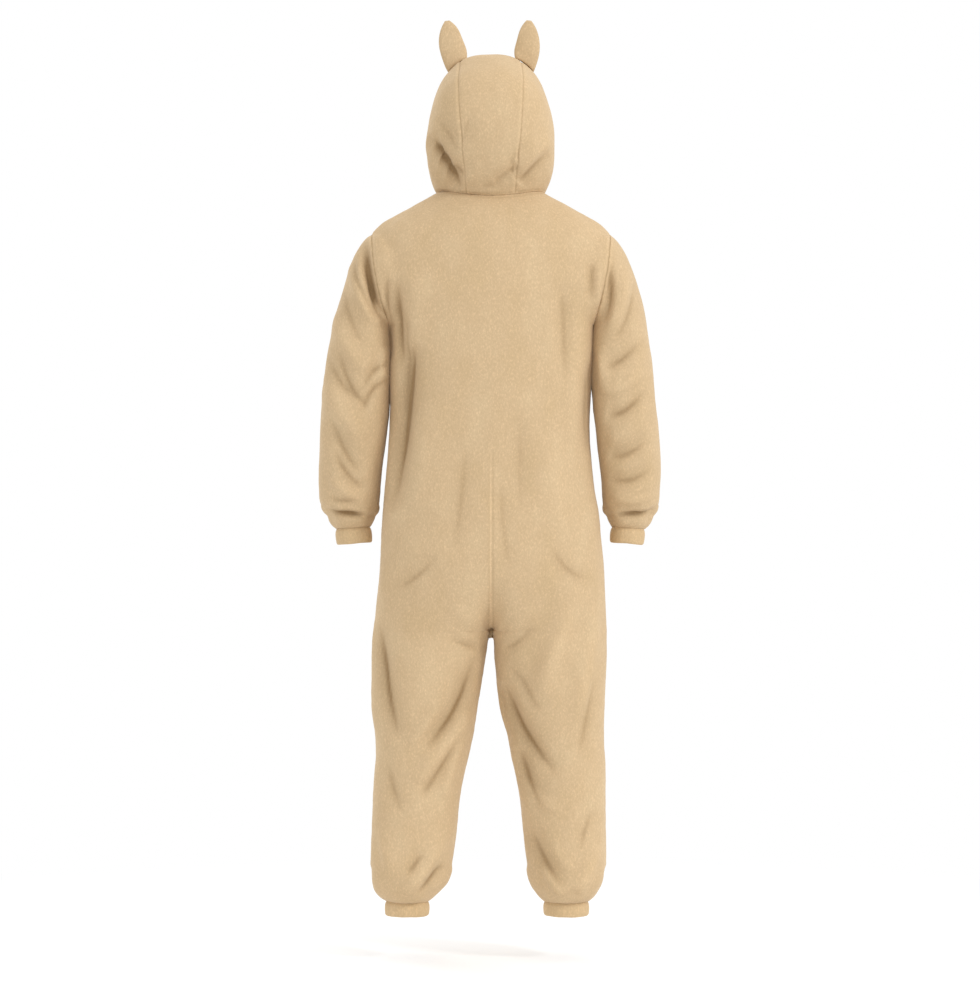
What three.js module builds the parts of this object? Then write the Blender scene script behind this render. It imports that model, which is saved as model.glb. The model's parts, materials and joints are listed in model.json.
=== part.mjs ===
// A plain fleece onesie with an eared hood, kept in the hollow form in which it is worn.
// Units are millimetres. +Z is up, the garment's front faces -Y and its left side is +X.
// The origin is the middle of the neck seam, level with the top of the shoulders.

import * as THREE from "three";

// Cloth and seams
const CLOTH = 3; // thickness of the fleece
const CUFF_CLOTH = 4; // a cuff is a folded band
const SEAM_GAP = 0.3; // space between two pieces that are sewn together
const HALF_GAP = SEAM_GAP / 2;

// How finely the cloth is faceted
const COLUMNS = 10; // facets across one body panel
const ARMHOLE_STEPS = 9; // facets down the back, or the front, of an armhole
const TORSO_STEPS = 10; // from the armpit down to the top of the crotch curve
const SADDLE_STEPS = 5; // down the crotch curve
const CENTRE_PANEL_COLUMNS = 3; // hood columns on each side of the middle that belong to its centre strip

// Main sizes
const TIP = { x: 240, z: -75 }; // outer end of the shoulder seam
const ARMPIT = { x: 205, z: -262 };
const ARMHOLE_HALF_DEPTH = 68;
const ARMHOLE_BULGE = 7; // the armhole seam bows outwards by this at its middle
const ARMHOLE_EASE = 3; // the higher, the closer to the armhole its pull on the panel stays
const SADDLE_TOP_Z = -727;
const CROTCH_Z = -877;

// Shoulder rows, from the neck seam down to the shoulder tip. The neck seam dips towards the front.
const SHOULDER_ROWS = [
  { half: 108, sideZ: 6, backY: 76, backZ: -2, frontY: -75, frontZ: -45, power: 1.0 },
  { half: 132, sideZ: -7, backY: 86, backZ: -13, frontY: -79, frontZ: -51, power: 1.02 },
  { half: 163, sideZ: -24, backY: 96, backZ: -27, frontY: -83, frontZ: -57, power: 1.04 },
  { half: 195, sideZ: -41, backY: 105, backZ: -42, frontY: -87, frontZ: -63, power: 1.05 },
  { half: 222, sideZ: -57, backY: 112, backZ: -58, frontY: -91, frontZ: -69, power: 1.04 },
  { half: 240, sideZ: -75, backY: 118, backZ: -75, frontY: -95, frontZ: -75, power: 1.02 },
];

// Body sections below the shoulder tip: half-width on each side, and how far the back and front stand
// off. A power below 1 makes a section boxier than an ellipse.
const TORSO = [
  { z: -75, power: 1.02, left: 240, right: 240, back: 118, front: -95 },
  { z: -140, power: 0.94, left: 232, right: 232, back: 131, front: -112 },
  { z: -200, power: 0.91, left: 219, right: 219, back: 136, front: -121 },
  { z: -262, power: 0.9, left: 205, right: 205, back: 138, front: -127 },
  { z: -345, power: 0.9, left: 203, right: 202, back: 137, front: -131 },
  { z: -428, power: 0.9, left: 202, right: 200, back: 134, front: -134 },
  { z: -509, power: 0.9, left: 205, right: 201, back: 134, front: -136 },
  { z: -574, power: 0.9, left: 212, right: 207, back: 136, front: -137 },
  { z: -638, power: 0.9, left: 219, right: 217, back: 140, front: -136 },
  { z: -735, power: 0.9, left: 223, right: 226, back: 141, front: -131 },
  { z: -800, power: 0.9, left: 229, right: 230, back: 134, front: -123 },
  { z: -848, power: 0.9, left: 234, right: 232, back: 123, front: -114 },
  { z: -877, power: 0.9, left: 237, right: 234, back: 114, front: -109 },
];

// Leg sections, from the crotch to the seam of the ankle cuff.
const LEGS = [
  { z: -877, leftOut: 237, leftIn: 0.2, rightOut: 234, rightIn: 0.2, back: 108, front: -103 },
  { z: -900, leftOut: 238, leftIn: 5, rightOut: 234, rightIn: 4, back: 105, front: -102 },
  { z: -945, leftOut: 240, leftIn: 13, rightOut: 234, rightIn: 7, back: 99, front: -99 },
  { z: -1042, leftOut: 239, leftIn: 30, rightOut: 229, rightIn: 23, back: 89, front: -95 },
  { z: -1091, leftOut: 233, leftIn: 38, rightOut: 228, rightIn: 34, back: 82, front: -91 },
  { z: -1139, leftOut: 233, leftIn: 48, rightOut: 230, rightIn: 45, back: 80, front: -89 },
  { z: -1188, leftOut: 238, leftIn: 58, rightOut: 231, rightIn: 55, back: 81, front: -87 },
  { z: -1285, leftOut: 242, leftIn: 71, rightOut: 232, rightIn: 67, back: 84, front: -85 },
  { z: -1333, leftOut: 244, leftIn: 79, rightOut: 232, rightIn: 73, back: 84, front: -85 },
  { z: -1374, leftOut: 244, leftIn: 89, rightOut: 229, rightIn: 81, back: 83, front: -84 },
  { z: -1396, leftOut: 238, leftIn: 104, rightOut: 219, rightIn: 90, back: 76, front: -77 },
  { z: -1412, leftOut: 223, leftIn: 118, rightOut: 206, rightIn: 101, back: 63, front: -64 },
  { z: -1418, leftOut: 213, leftIn: 125, rightOut: 197, rightIn: 107, back: 52, front: -54 },
];
const LEG_ROWS_Z = [-899, -925, -960, -1000, -1042, -1085, -1128, -1170, -1212, -1254, -1294, -1330,
  -1358, -1380, -1398, -1411, -1418];

// Sleeve rings. Each runs from an outer point to an inner one and stands off to the back and the front.
const SLEEVE_RINGS = [
  { outZ: -89, outLeft: 257, outRight: 256, inZ: -269, in: 206, mid: -5, half: 71 },
  { outZ: -108, outLeft: 269, outRight: 268, inZ: -279, in: 207, mid: -5, half: 73 },
  { outZ: -136, outLeft: 282, outRight: 281, inZ: -293, in: 206.5, mid: -4, half: 74 },
  { outZ: -172, outLeft: 294, outRight: 294, inZ: -312, in: 206.5, mid: -3, half: 74 },
  { outZ: -214, outLeft: 307, outRight: 305, inZ: -335, in: 206.5, mid: -1, half: 73 },
  { outZ: -260, outLeft: 319, outRight: 314, inZ: -364, in: 206, mid: 1, half: 72 },
  { outZ: -310, outLeft: 328, outRight: 321, inZ: -398, in: 205.5, mid: 2, half: 70 },
  { outZ: -360, outLeft: 335, outRight: 327, inZ: -433, in: 206, mid: 2, half: 69 },
  { outZ: -408, outLeft: 341, outRight: 332, inZ: -468, in: 210, mid: 0, half: 68 },
  { outZ: -455, outLeft: 345, outRight: 338, inZ: -503, in: 214, mid: -4, half: 66 },
  { outZ: -501, outLeft: 347, outRight: 342, inZ: -538, in: 219, mid: -9, half: 64 },
  { outZ: -545, outLeft: 348, outRight: 343, inZ: -572, in: 223, mid: -15, half: 62 },
  { outZ: -586, outLeft: 347, outRight: 342, inZ: -604, in: 225, mid: -20, half: 60 },
  { outZ: -614, outLeft: 345, outRight: 340, inZ: -622, in: 227, mid: -23, half: 58 },
  { outZ: -632, outLeft: 337, outRight: 334, inZ: -634, in: 230, mid: -26, half: 54 },
  { outZ: -642, outLeft: 328, outRight: 326, inZ: -642, in: 236, mid: -27, half: 48 },
  { outZ: -652, outLeft: 326, outRight: 323, inZ: -650, in: 238, mid: -28, half: 46 },
  { outZ: -662, outLeft: 321, outRight: 318, inZ: -657, in: 241, mid: -29, half: 42 },
  { outZ: -668, outLeft: 315, outRight: 312, inZ: -663, in: 244, mid: -30, half: 36 },
];
const SLEEVE_SQUARENESS = 0.95;
const CAP_RINGS = 5; // rings over which the sleeve turns from the armhole's shape into its own

// Hood hoops. Each pivots at the front of the neck seam, and its angle is how far it is raised from level.
const HOOD_PIVOT = { y: -75, z: -45 };
const HOOD_HOOPS = [
  { angle: 24, reach: 203, half: 113, power: 0.97, rise: 2 },
  { angle: 31, reach: 245, half: 118, power: 0.94, rise: 5 },
  { angle: 39, reach: 284, half: 123, power: 0.9, rise: 8 },
  { angle: 47, reach: 314, half: 127, power: 0.88, rise: 11 },
  { angle: 55, reach: 330, half: 128, power: 0.86, rise: 14 },
  { angle: 63, reach: 331, half: 124, power: 0.85, rise: 17 },
  { angle: 71, reach: 328, half: 119, power: 0.84, rise: 20 },
  { angle: 79, reach: 315, half: 113, power: 0.85, rise: 23 },
  { angle: 87, reach: 305, half: 105, power: 0.88, rise: 27 },
  { angle: 94, reach: 292, half: 97, power: 0.92, rise: 30 },
];
const NECK_BLEND_HOOPS = 3; // hoops over which the hood leaves the exact shape of the neck seam

// Ears, as slices from the hood to the tip: an outer and an inner edge, and half the padded thickness.
const EAR_SLICES = [
  { outX: 95, outZ: 265, inX: 47, inZ: 295, half: 8.5 },
  { outX: 102, outZ: 285, inX: 52, inZ: 307, half: 9.5 },
  { outX: 106, outZ: 306, inX: 58, inZ: 321, half: 9 },
  { outX: 105, outZ: 326, inX: 64, inZ: 336, half: 7.5 },
  { outX: 100, outZ: 343, inX: 73, inZ: 348, half: 5 },
  { outX: 93, outZ: 355, inX: 84, inZ: 356, half: 2.5 },
];
const EARS = [
  { name: "ear_left", side: 1, lean: 0 },
  { name: "ear_right", side: -1, lean: -12 }, // it stands straighter than the left one
];
const EAR_BASE = { angle: 31.5, halfAngle: 12, hoop: 7.2, halfHoop: 0.22, off: 0.7 }; // its place on the hood
const EAR_POINTS = 12; // points round one slice

// Cuffs, as rings below the seam: distance down, and how far the band stands out from the seam ring.
const CUFF_RINGS = [
  { down: 0, out: 0 },
  { down: 0.3, out: 0.8 },
  { down: 0.75, out: 0.6 },
  { down: 1, out: -1.2 },
];
const WRIST_CUFF_HEIGHT = 32;
const ANKLE_CUFF_HEIGHT = 28;
const WRIST_SLANT = 3; // how far a wrist cuff leans inwards on its way down
const CUFF_TOP_RISE = 3.6; // how much higher the inner edge of a cuff's top stands than its outer one

// The strip down the front opening and its buttons
const PLACKET_HALF_WIDTH = 16;
const PLACKET_BOTTOM_Z = -640;
const BUTTON = { radius: 12, thickness: 4, bevel: 1.5, rim: 4, dish: 0.9, widestAt: 0.45, sides: 16 };
const BUTTON_PLACES = { count: 5, firstZ: -95, lastZ: -585 };

// The largest folds. Each follows a curve through three points, seen from the back (face 1) or the
// front (face -1). A positive height is a ridge and a negative one a trough.
const BODY_FOLDS = [
  // back, left side
  { face: 1, x0: 190, z0: -170, x1: 187, z1: -255, x2: 181, z2: -350, width: 17, height: -5 },
  { face: 1, x0: 158, z0: -300, x1: 172, z1: -440, x2: 203, z2: -640, width: 24, height: -10 },
  { face: 1, x0: 132, z0: -420, x1: 136, z1: -520, x2: 148, z2: -640, width: 26, height: 4 },
  // back, right side
  { face: 1, x0: -140, z0: -180, x1: -146, z1: -270, x2: -149, z2: -390, width: 22, height: -4 },
  { face: 1, x0: -172, z0: -200, x1: -173, z1: -330, x2: -158, z2: -500, width: 22, height: 5 },
  { face: 1, x0: -62, z0: -420, x1: -58, z1: -530, x2: -60, z2: -650, width: 26, height: -3 },
  { face: 1, x0: -118, z0: -480, x1: -126, z1: -580, x2: -134, z2: -690, width: 26, height: 4 },
  // back of the right leg
  { face: 1, x0: -178, z0: -780, x1: -130, z1: -905, x2: -98, z2: -1020, width: 24, height: 8 },
  { face: 1, x0: -208, z0: -820, x1: -190, z1: -946, x2: -172, z2: -1050, width: 18, height: 6 },
  { face: 1, x0: -20, z0: -975, x1: -63, z1: -1073, x2: -134, z2: -1160, width: 23, height: -13 },
  { face: 1, x0: -50, z0: -1105, x1: -73, z1: -1168, x2: -100, z2: -1225, width: 17, height: -8 },
  { face: 1, x0: -76, z0: -1265, x1: -105, z1: -1331, x2: -150, z2: -1384, width: 18, height: -7 },
  // back of the left leg
  { face: 1, x0: 226, z0: -850, x1: 214, z1: -967, x2: 184, z2: -1100, width: 19, height: -9 },
  { face: 1, x0: 30, z0: -925, x1: 69, z1: -1030, x2: 138, z2: -1112, width: 23, height: -9 },
  { face: 1, x0: 40, z0: -1028, x1: 91, z1: -1105, x2: 150, z2: -1176, width: 18, height: 7 },
  { face: 1, x0: 58, z0: -1080, x1: 106, z1: -1157, x2: 142, z2: -1205, width: 16, height: -6 },
  { face: 1, x0: 88, z0: -1268, x1: 128, z1: -1343, x2: 178, z2: -1398, width: 17, height: 6 },
  // front, which the photograph doesn't show: like the back, and as uneven
  { face: -1, x0: 172, z0: -180, x1: 160, z1: -290, x2: 164, z2: -410, width: 22, height: -6 },
  { face: -1, x0: -168, z0: -190, x1: -166, z1: -320, x2: -178, z2: -470, width: 24, height: -7 },
  { face: -1, x0: 118, z0: -430, x1: 128, z1: -560, x2: 150, z2: -700, width: 26, height: 5 },
  { face: -1, x0: -96, z0: -400, x1: -104, z1: -530, x2: -128, z2: -680, width: 26, height: 5 },
  { face: -1, x0: 12, z0: -850, x1: 90, z1: -815, x2: 170, z2: -745, width: 22, height: -7 },
  { face: -1, x0: -14, z0: -845, x1: -84, z1: -800, x2: -176, z2: -755, width: 22, height: -6 },
  { face: -1, x0: 36, z0: -1000, x1: 120, z1: -1062, x2: 214, z2: -1080, width: 22, height: -8 },
  { face: -1, x0: 44, z0: -1060, x1: 128, z1: -1128, x2: 220, z2: -1150, width: 20, height: 6 },
  { face: -1, x0: -38, z0: -1040, x1: -118, z1: -1108, x2: -206, z2: -1120, width: 22, height: -8 },
  { face: -1, x0: -52, z0: -1110, x1: -130, z1: -1170, x2: -210, z2: -1178, width: 20, height: 6 },
  { face: -1, x0: 92, z0: -1290, x1: 148, z1: -1352, x2: 212, z2: -1376, width: 18, height: -6 },
  { face: -1, x0: -88, z0: -1300, x1: -140, z1: -1350, x2: -204, z2: -1380, width: 18, height: -6 },
];
const SLEEVE_FOLDS = [
  // back of the left sleeve
  { face: 1, x0: 250, z0: -95, x1: 243, z1: -175, x2: 219, z2: -250, width: 15, height: -8 },
  { face: 1, x0: 268, z0: -130, x1: 254, z1: -205, x2: 224, z2: -262, width: 15, height: 5 },
  { face: 1, x0: 310, z0: -300, x1: 283, z1: -380, x2: 240, z2: -425, width: 17, height: -6 },
  { face: 1, x0: 322, z0: -440, x1: 296, z1: -510, x2: 256, z2: -560, width: 17, height: -6 },
  { face: 1, x0: 326, z0: -375, x1: 300, z1: -440, x2: 246, z2: -490, width: 18, height: 5 },
  // back of the right sleeve
  { face: 1, x0: -232, z0: -110, x1: -238, z1: -190, x2: -222, z2: -262, width: 15, height: -6 },
  { face: 1, x0: -264, z0: -150, x1: -262, z1: -215, x2: -230, z2: -285, width: 15, height: 6 },
  { face: 1, x0: -222, z0: -345, x1: -262, z1: -330, x2: -306, z2: -290, width: 17, height: -6 },
  { face: 1, x0: -228, z0: -440, x1: -268, z1: -432, x2: -312, z2: -390, width: 17, height: -7 },
  { face: 1, x0: -234, z0: -520, x1: -272, z1: -520, x2: -318, z2: -488, width: 17, height: -6 },
  // fronts, at the bend of each arm
  { face: -1, x0: 226, z0: -330, x1: 276, z1: -366, x2: 322, z2: -372, width: 18, height: -7 },
  { face: -1, x0: 230, z0: -400, x1: 280, z1: -424, x2: 330, z2: -420, width: 18, height: -7 },
  { face: -1, x0: 250, z0: -110, x1: 242, z1: -180, x2: 222, z2: -250, width: 16, height: -7 },
  { face: -1, x0: -226, z0: -350, x1: -270, z1: -380, x2: -318, z2: -384, width: 18, height: -7 },
  { face: -1, x0: -232, z0: -430, x1: -280, z1: -450, x2: -326, z2: -440, width: 18, height: -6 },
  { face: -1, x0: -250, z0: -105, x1: -244, z1: -180, x2: -222, z2: -255, width: 16, height: -7 },
];
const HOOD_FOLDS = [
  { face: 1, x0: 126, z0: 118, x1: 97, z1: 68, x2: 60, z2: 8, width: 15, height: -10 },
  { face: 1, x0: 106, z0: 152, x1: 83, z1: 112, x2: 62, z2: 78, width: 16, height: -4 },
  { face: 1, x0: -122, z0: 112, x1: -86, z1: 76, x2: -50, z2: 28, width: 13, height: 5 },
  { face: 1, x0: -116, z0: 82, x1: -78, z1: 46, x2: -56, z2: 20, width: 14, height: -6 },
  { face: 1, x0: -52, z0: 58, x1: -30, z1: 36, x2: -4, z2: 22, width: 14, height: -4 },
];

// Gathers above a cuff, as waves round the ring that fade out over a height.
const ANKLE_GATHERS = { waves: 5, height: 3.5, fade: 70, seamZ: -1418 };
const WRIST_GATHERS = { waves: 6, height: 2.5, fade: 45, seamZ: -666 };

const FLEECE = new THREE.MeshStandardMaterial({
  color: 0xd6b98f,
  roughness: 0.95,
  metalness: 0,
  side: THREE.DoubleSide,
});
const BUTTON_PLASTIC = new THREE.MeshStandardMaterial({
  color: 0x9a7449,
  roughness: 0.45,
  metalness: 0,
});

const onesie = new THREE.Group();

// Small helpers

const vec = (x, y, z) => new THREE.Vector3(x, y, z);
const clamp = (value, low, high) => Math.min(Math.max(value, low), high);
const mix = (a, b, share) => a + (b - a) * share;
const mixPoints = (a, b, share) => a.clone().lerp(b, share);
const mirrored = (point) => vec(-point.x, point.y, point.z);
const radians = (degrees) => (degrees * Math.PI) / 180;

function smooth(value) {
  const share = clamp(value, 0, 1);
  return share * share * (3 - 2 * share);
}

// A power that keeps the sign of its base.
const signedPower = (base, power) => Math.sign(base) * Math.abs(base) ** power;

// The slope of a table's column at one of its rows.
function slopeAt(table, i, column) {
  const above = table[Math.max(i - 1, 0)];
  const below = table[Math.min(i + 1, table.length - 1)];
  return (below[column] - above[column]) / (below.z - above.z);
}

// A table's column at a height, smooth between its rows, which run downwards.
function valueAt(table, z, column) {
  const next = table.findIndex((row) => row.z <= z);
  if (next === 0) return table[0][column];
  if (next < 0) return table[table.length - 1][column];
  const above = table[next - 1];
  const below = table[next];
  const height = below.z - above.z;
  const k = (z - above.z) / height;
  const startShare = 2 * k ** 3 - 3 * k ** 2 + 1;
  const startSlope = (k ** 3 - 2 * k ** 2 + k) * height * slopeAt(table, next - 1, column);
  const endSlope = (k ** 3 - k ** 2) * height * slopeAt(table, next, column);
  return startShare * above[column] + startSlope + (1 - startShare) * below[column] + endSlope;
}

// Folds

// The point of a fold's curve at a share of its length, as seen from the back or the front.
function foldPoint(fold, share) {
  const first = (1 - share) * (1 - 2 * share);
  const middle = 4 * share * (1 - share);
  const last = share * (2 * share - 1);
  return {
    x: first * fold.x0 + middle * fold.x1 + last * fold.x2,
    z: first * fold.z0 + middle * fold.z1 + last * fold.z2,
  };
}

const FOLD_SAMPLES = 24;
const FULL_FACING = 0.5; // a fold has its full height where the cloth faces its side at least this much

// How high one fold stands at a point: full along its curve, and nothing at the curve's ends.
function oneFold(fold, point) {
  let nearest = Infinity;
  let place = 0;
  for (let i = 0; i <= FOLD_SAMPLES; i += 1) {
    const on = foldPoint(fold, i / FOLD_SAMPLES);
    const distance = Math.hypot(point.x - on.x, point.z - on.z);
    if (distance < nearest) {
      nearest = distance;
      place = i / FOLD_SAMPLES;
    }
  }
  const taper = 1 - (2 * place - 1) ** 4;
  return fold.height * taper * Math.exp(-((nearest / fold.width) ** 2));
}

// How high all folds of a table stand at a point whose surface faces along a normal.
function foldHeight(folds, point, normal) {
  let height = 0;
  for (const fold of folds) {
    const facing = smooth((normal.y * fold.face) / FULL_FACING);
    if (facing > 0) height += facing * oneFold(fold, point);
  }
  return height;
}

const GATHER_UNEVENNESS = 0.25; // how much lower than the highest waves the middling ones are
const GATHER_PHASE = 0.8; // where round the ring the highest waves lie, in radians

// Uneven waves round a ring, where `turn` is the way round in radians.
function gatherHeight(gathers, turn, z) {
  const near = 1 - clamp((z - gathers.seamZ) / gathers.fade, 0, 1);
  const uneven = 1 - GATHER_UNEVENNESS * (1 - Math.sin(2 * turn + GATHER_PHASE));
  return gathers.height * uneven * Math.sin(Math.PI * Math.sqrt(near)) * Math.cos(gathers.waves * turn);
}

// Grids of points, as arrays of rows

// Unit normals of a grid. `before` and `after` give the points next to each row's ends.
function gridNormals(grid, before, after, sign) {
  const lastRow = grid.length - 1;
  return grid.map((row, r) =>
    row.map((_, c) => {
      const previous = c > 0 ? row[c - 1] : before(r);
      const next = c < row.length - 1 ? row[c + 1] : after(r);
      const above = grid[Math.max(r - 1, 0)][c];
      const below = grid[Math.min(r + 1, lastRow)][c];
      const across = next.clone().sub(previous);
      const down = below.clone().sub(above);
      return across.cross(down).multiplyScalar(sign).normalize();
    }),
  );
}

// The way in from a seam: square to the seam and to the normal, on the side of a point of the piece.
function inwards(seamBefore, seamAfter, normal, at, inside) {
  const way = seamAfter.clone().sub(seamBefore).cross(normal).normalize();
  return way.dot(inside.clone().sub(at)) < 0 ? way.negate() : way;
}

// Which way each edge point of a grid moves to leave the seam gap. `special` overrides some of them.
function seamShifts(grid, normals, edges, special = () => null) {
  const lastRow = grid.length - 1;
  const lastColumn = grid[0].length - 1;
  return grid.map((row, r) =>
    row.map((point, c) => {
      const given = special(r, c);
      if (given) return given;
      const shift = vec(0, 0, 0);
      const above = grid[Math.max(r - 1, 0)][c];
      const below = grid[Math.min(r + 1, lastRow)][c];
      const left = row[Math.max(c - 1, 0)];
      const right = row[Math.min(c + 1, lastColumn)];
      if (edges.first && c === 0) shift.add(inwards(above, below, normals[r][c], point, row[1]));
      if (edges.last && c === lastColumn) {
        shift.add(inwards(above, below, normals[r][c], point, row[lastColumn - 1]));
      }
      if (edges.top && r === 0) shift.add(inwards(left, right, normals[r][c], point, grid[1][c]));
      if (edges.bottom && r === lastRow) {
        shift.add(inwards(left, right, normals[r][c], point, grid[lastRow - 1][c]));
      }
      return shift;
    }),
  );
}

// Closed surfaces

class Surface {
  constructor() {
    this.positions = [];
    this.faces = [];
  }

  add(point) {
    this.positions.push(point.x, point.y, point.z);
    return this.positions.length / 3 - 1;
  }

  addGrid(grid) {
    return grid.map((row) => row.map((point) => this.add(point)));
  }

  // A four-sided facet, whose diagonal runs from its first corner to its third.
  quad(a, b, c, d, turned) {
    if (turned) this.faces.push(a, c, b, a, d, c);
    else this.faces.push(a, b, c, a, c, d);
  }

  geometry() {
    const made = new THREE.BufferGeometry();
    made.setAttribute("position", new THREE.Float32BufferAttribute(this.positions, 3));
    made.setIndex(this.faces);
    made.computeVertexNormals();
    return made;
  }
}

// A cloth wall between an outer grid and an inner one. `closed` joins each row's end to its start,
// and `turned` faces the wall the other way.
function wallGeometry(outer, inner, { closed = false, turned = false } = {}) {
  const surface = new Surface();
  const out = surface.addGrid(outer);
  const back = surface.addGrid(inner);
  const rows = outer.length;
  const columns = outer[0].length;
  const steps = closed ? columns : columns - 1;
  for (let r = 0; r < rows - 1; r += 1) {
    for (let c = 0; c < steps; c += 1) {
      const n = (c + 1) % columns;
      surface.quad(out[r][c], out[r][n], out[r + 1][n], out[r + 1][c], turned);
      surface.quad(back[r][c], back[r][n], back[r + 1][n], back[r + 1][c], !turned);
    }
  }
  for (let c = 0; c < steps; c += 1) {
    const n = (c + 1) % columns;
    const low = rows - 1;
    surface.quad(out[0][c], back[0][c], back[0][n], out[0][n], turned);
    surface.quad(out[low][c], back[low][c], back[low][n], out[low][n], !turned);
  }
  if (!closed) {
    const end = columns - 1;
    for (let r = 0; r < rows - 1; r += 1) {
      surface.quad(out[r][0], out[r + 1][0], back[r + 1][0], back[r][0], turned);
      surface.quad(out[r][end], out[r + 1][end], back[r + 1][end], back[r][end], !turned);
    }
  }
  return surface.geometry();
}

function addPiece(name, geometry, material = FLEECE) {
  const mesh = new THREE.Mesh(geometry, material);
  mesh.name = name;
  onesie.add(mesh);
}

// The outer and inner faces of a piece: its grid moved off its seams, and that moved in by the cloth.
function addClothPiece(name, grid, normals, shifts, turned) {
  const outer = grid.map((row, r) => row.map((p, c) => p.clone().addScaledVector(shifts[r][c], HALF_GAP)));
  const inner = outer.map((row, r) => row.map((p, c) => p.clone().addScaledVector(normals[r][c], -CLOTH)));
  addPiece(name, wallGeometry(outer, inner, { turned }));
}

// The body: four panels from the shoulder to the ankle

const SIDES = [
  { name: "left", side: 1 },
  { name: "right", side: -1 },
];
const FACES = [
  { name: "back", face: 1 },
  { name: "front", face: -1 },
];
const ARMHOLE_MIDDLE_Z = (TIP.z + ARMPIT.z) / 2;
const ARMHOLE_HALF_HEIGHT = (TIP.z - ARMPIT.z) / 2;

// Every row of the body, from the neck seam to the ankle seam, with the name of its zone.
function bodyRows() {
  const rows = SHOULDER_ROWS.map((row) => ({ zone: "shoulder", ...row }));
  for (let j = 1; j <= ARMHOLE_STEPS; j += 1) {
    const turn = (Math.PI * j) / ARMHOLE_STEPS;
    rows.push({ zone: "armhole", turn, z: ARMHOLE_MIDDLE_Z + ARMHOLE_HALF_HEIGHT * Math.cos(turn) });
  }
  for (let j = 1; j <= TORSO_STEPS; j += 1) {
    rows.push({ zone: "torso", z: mix(ARMPIT.z, SADDLE_TOP_Z, j / TORSO_STEPS), torsoShare: 1 });
  }
  for (let j = SADDLE_STEPS - 1; j >= 0; j -= 1) {
    const turn = (Math.PI / 2) * (j / SADDLE_STEPS);
    const z = CROTCH_Z + (SADDLE_TOP_Z - CROTCH_Z) * (1 - Math.cos(turn));
    rows.push({ zone: j > 0 ? "saddle" : "crotch", z, torsoShare: Math.sin(turn) });
  }
  LEG_ROWS_Z.forEach((z) => rows.push({ zone: "leg", z, torsoShare: 0 }));
  return rows;
}

const ROWS = bodyRows();
const TIP_ROW = SHOULDER_ROWS.length - 1;
const ARMPIT_ROW = TIP_ROW + ARMHOLE_STEPS;
const CROTCH_ROW = ROWS.findIndex((row) => row.zone === "crotch");
const LAST_ROW = ROWS.length - 1;

// A point of a shoulder row. `t` runs from 0 at the centre seam to 1 at the shoulder seam.
function shoulderPoint(row, side, face, t) {
  const turn = (Math.PI / 2) * t;
  const middle = (row.backY + row.frontY) / 2;
  const depth = (row.backY - row.frontY) / 2;
  const ends = (row.backZ + row.frontZ) / 2;
  const wholeTurn = face > 0 ? turn : Math.PI - turn;
  const slant = ((row.backZ - row.frontZ) / 2) * Math.cos(wholeTurn);
  const z = (ends + row.sideZ) / 2 + slant + ((ends - row.sideZ) / 2) * Math.cos(2 * turn);
  const x = side * row.half * Math.sin(turn) ** row.power;
  return vec(x, middle + face * depth * signedPower(Math.cos(turn), row.power), z);
}

// The half-width of the body at a height.
const halfWidth = (side, z) => valueAt(TORSO, z, side > 0 ? "left" : "right");

function sectionDepth(table, z) {
  const back = valueAt(table, z, "back");
  const front = valueAt(table, z, "front");
  return { middle: (back + front) / 2, half: (back - front) / 2 };
}

const torsoDepth = (z) => sectionDepth(TORSO, z);

function torsoPoint(z, side, face, t) {
  const turn = (Math.PI / 2) * t;
  const power = valueAt(TORSO, z, "power");
  const depth = torsoDepth(z);
  const x = side * halfWidth(side, z) * Math.sin(turn) ** power;
  const y = depth.middle + face * depth.half * signedPower(Math.cos(turn), power);
  return vec(x, y, z);
}

// A point of a row that the armhole cuts short: near its end the section bends out to the armhole seam.
function armholePoint(row, side, face, t) {
  const depth = torsoDepth(row.z);
  const seamX = mix(TIP.x, ARMPIT.x, (1 - Math.cos(row.turn)) / 2) + ARMHOLE_BULGE * Math.sin(row.turn) ** 2;
  const seamY = ARMHOLE_HALF_DEPTH * Math.sin(row.turn);
  const seamT = Math.acos((seamY / depth.half) ** (1 / valueAt(TORSO, row.z, "power"))) / (Math.PI / 2);
  const offset = side * seamX - torsoPoint(row.z, side, face, seamT).x;
  const point = torsoPoint(row.z, side, face, t * seamT);
  return point.setX(point.x + offset * t ** ARMHOLE_EASE);
}

// A point of a leg's section. `t` runs from 0 at the inner seam to 1 at the side seam.
function legPoint(z, side, face, t) {
  const above = z > CROTCH_Z;
  const out = above ? halfWidth(side, z) : valueAt(LEGS, z, side > 0 ? "leftOut" : "rightOut");
  const inner = above ? 0 : valueAt(LEGS, z, side > 0 ? "leftIn" : "rightIn");
  const back = valueAt(LEGS, z, "back");
  const front = valueAt(LEGS, z, "front");
  const turn = Math.PI * t;
  const x = side * ((out + inner) / 2 - ((out - inner) / 2) * Math.cos(turn));
  return vec(x, (back + front) / 2 + (face * (back - front) * Math.sin(turn)) / 2, z);
}

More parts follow.
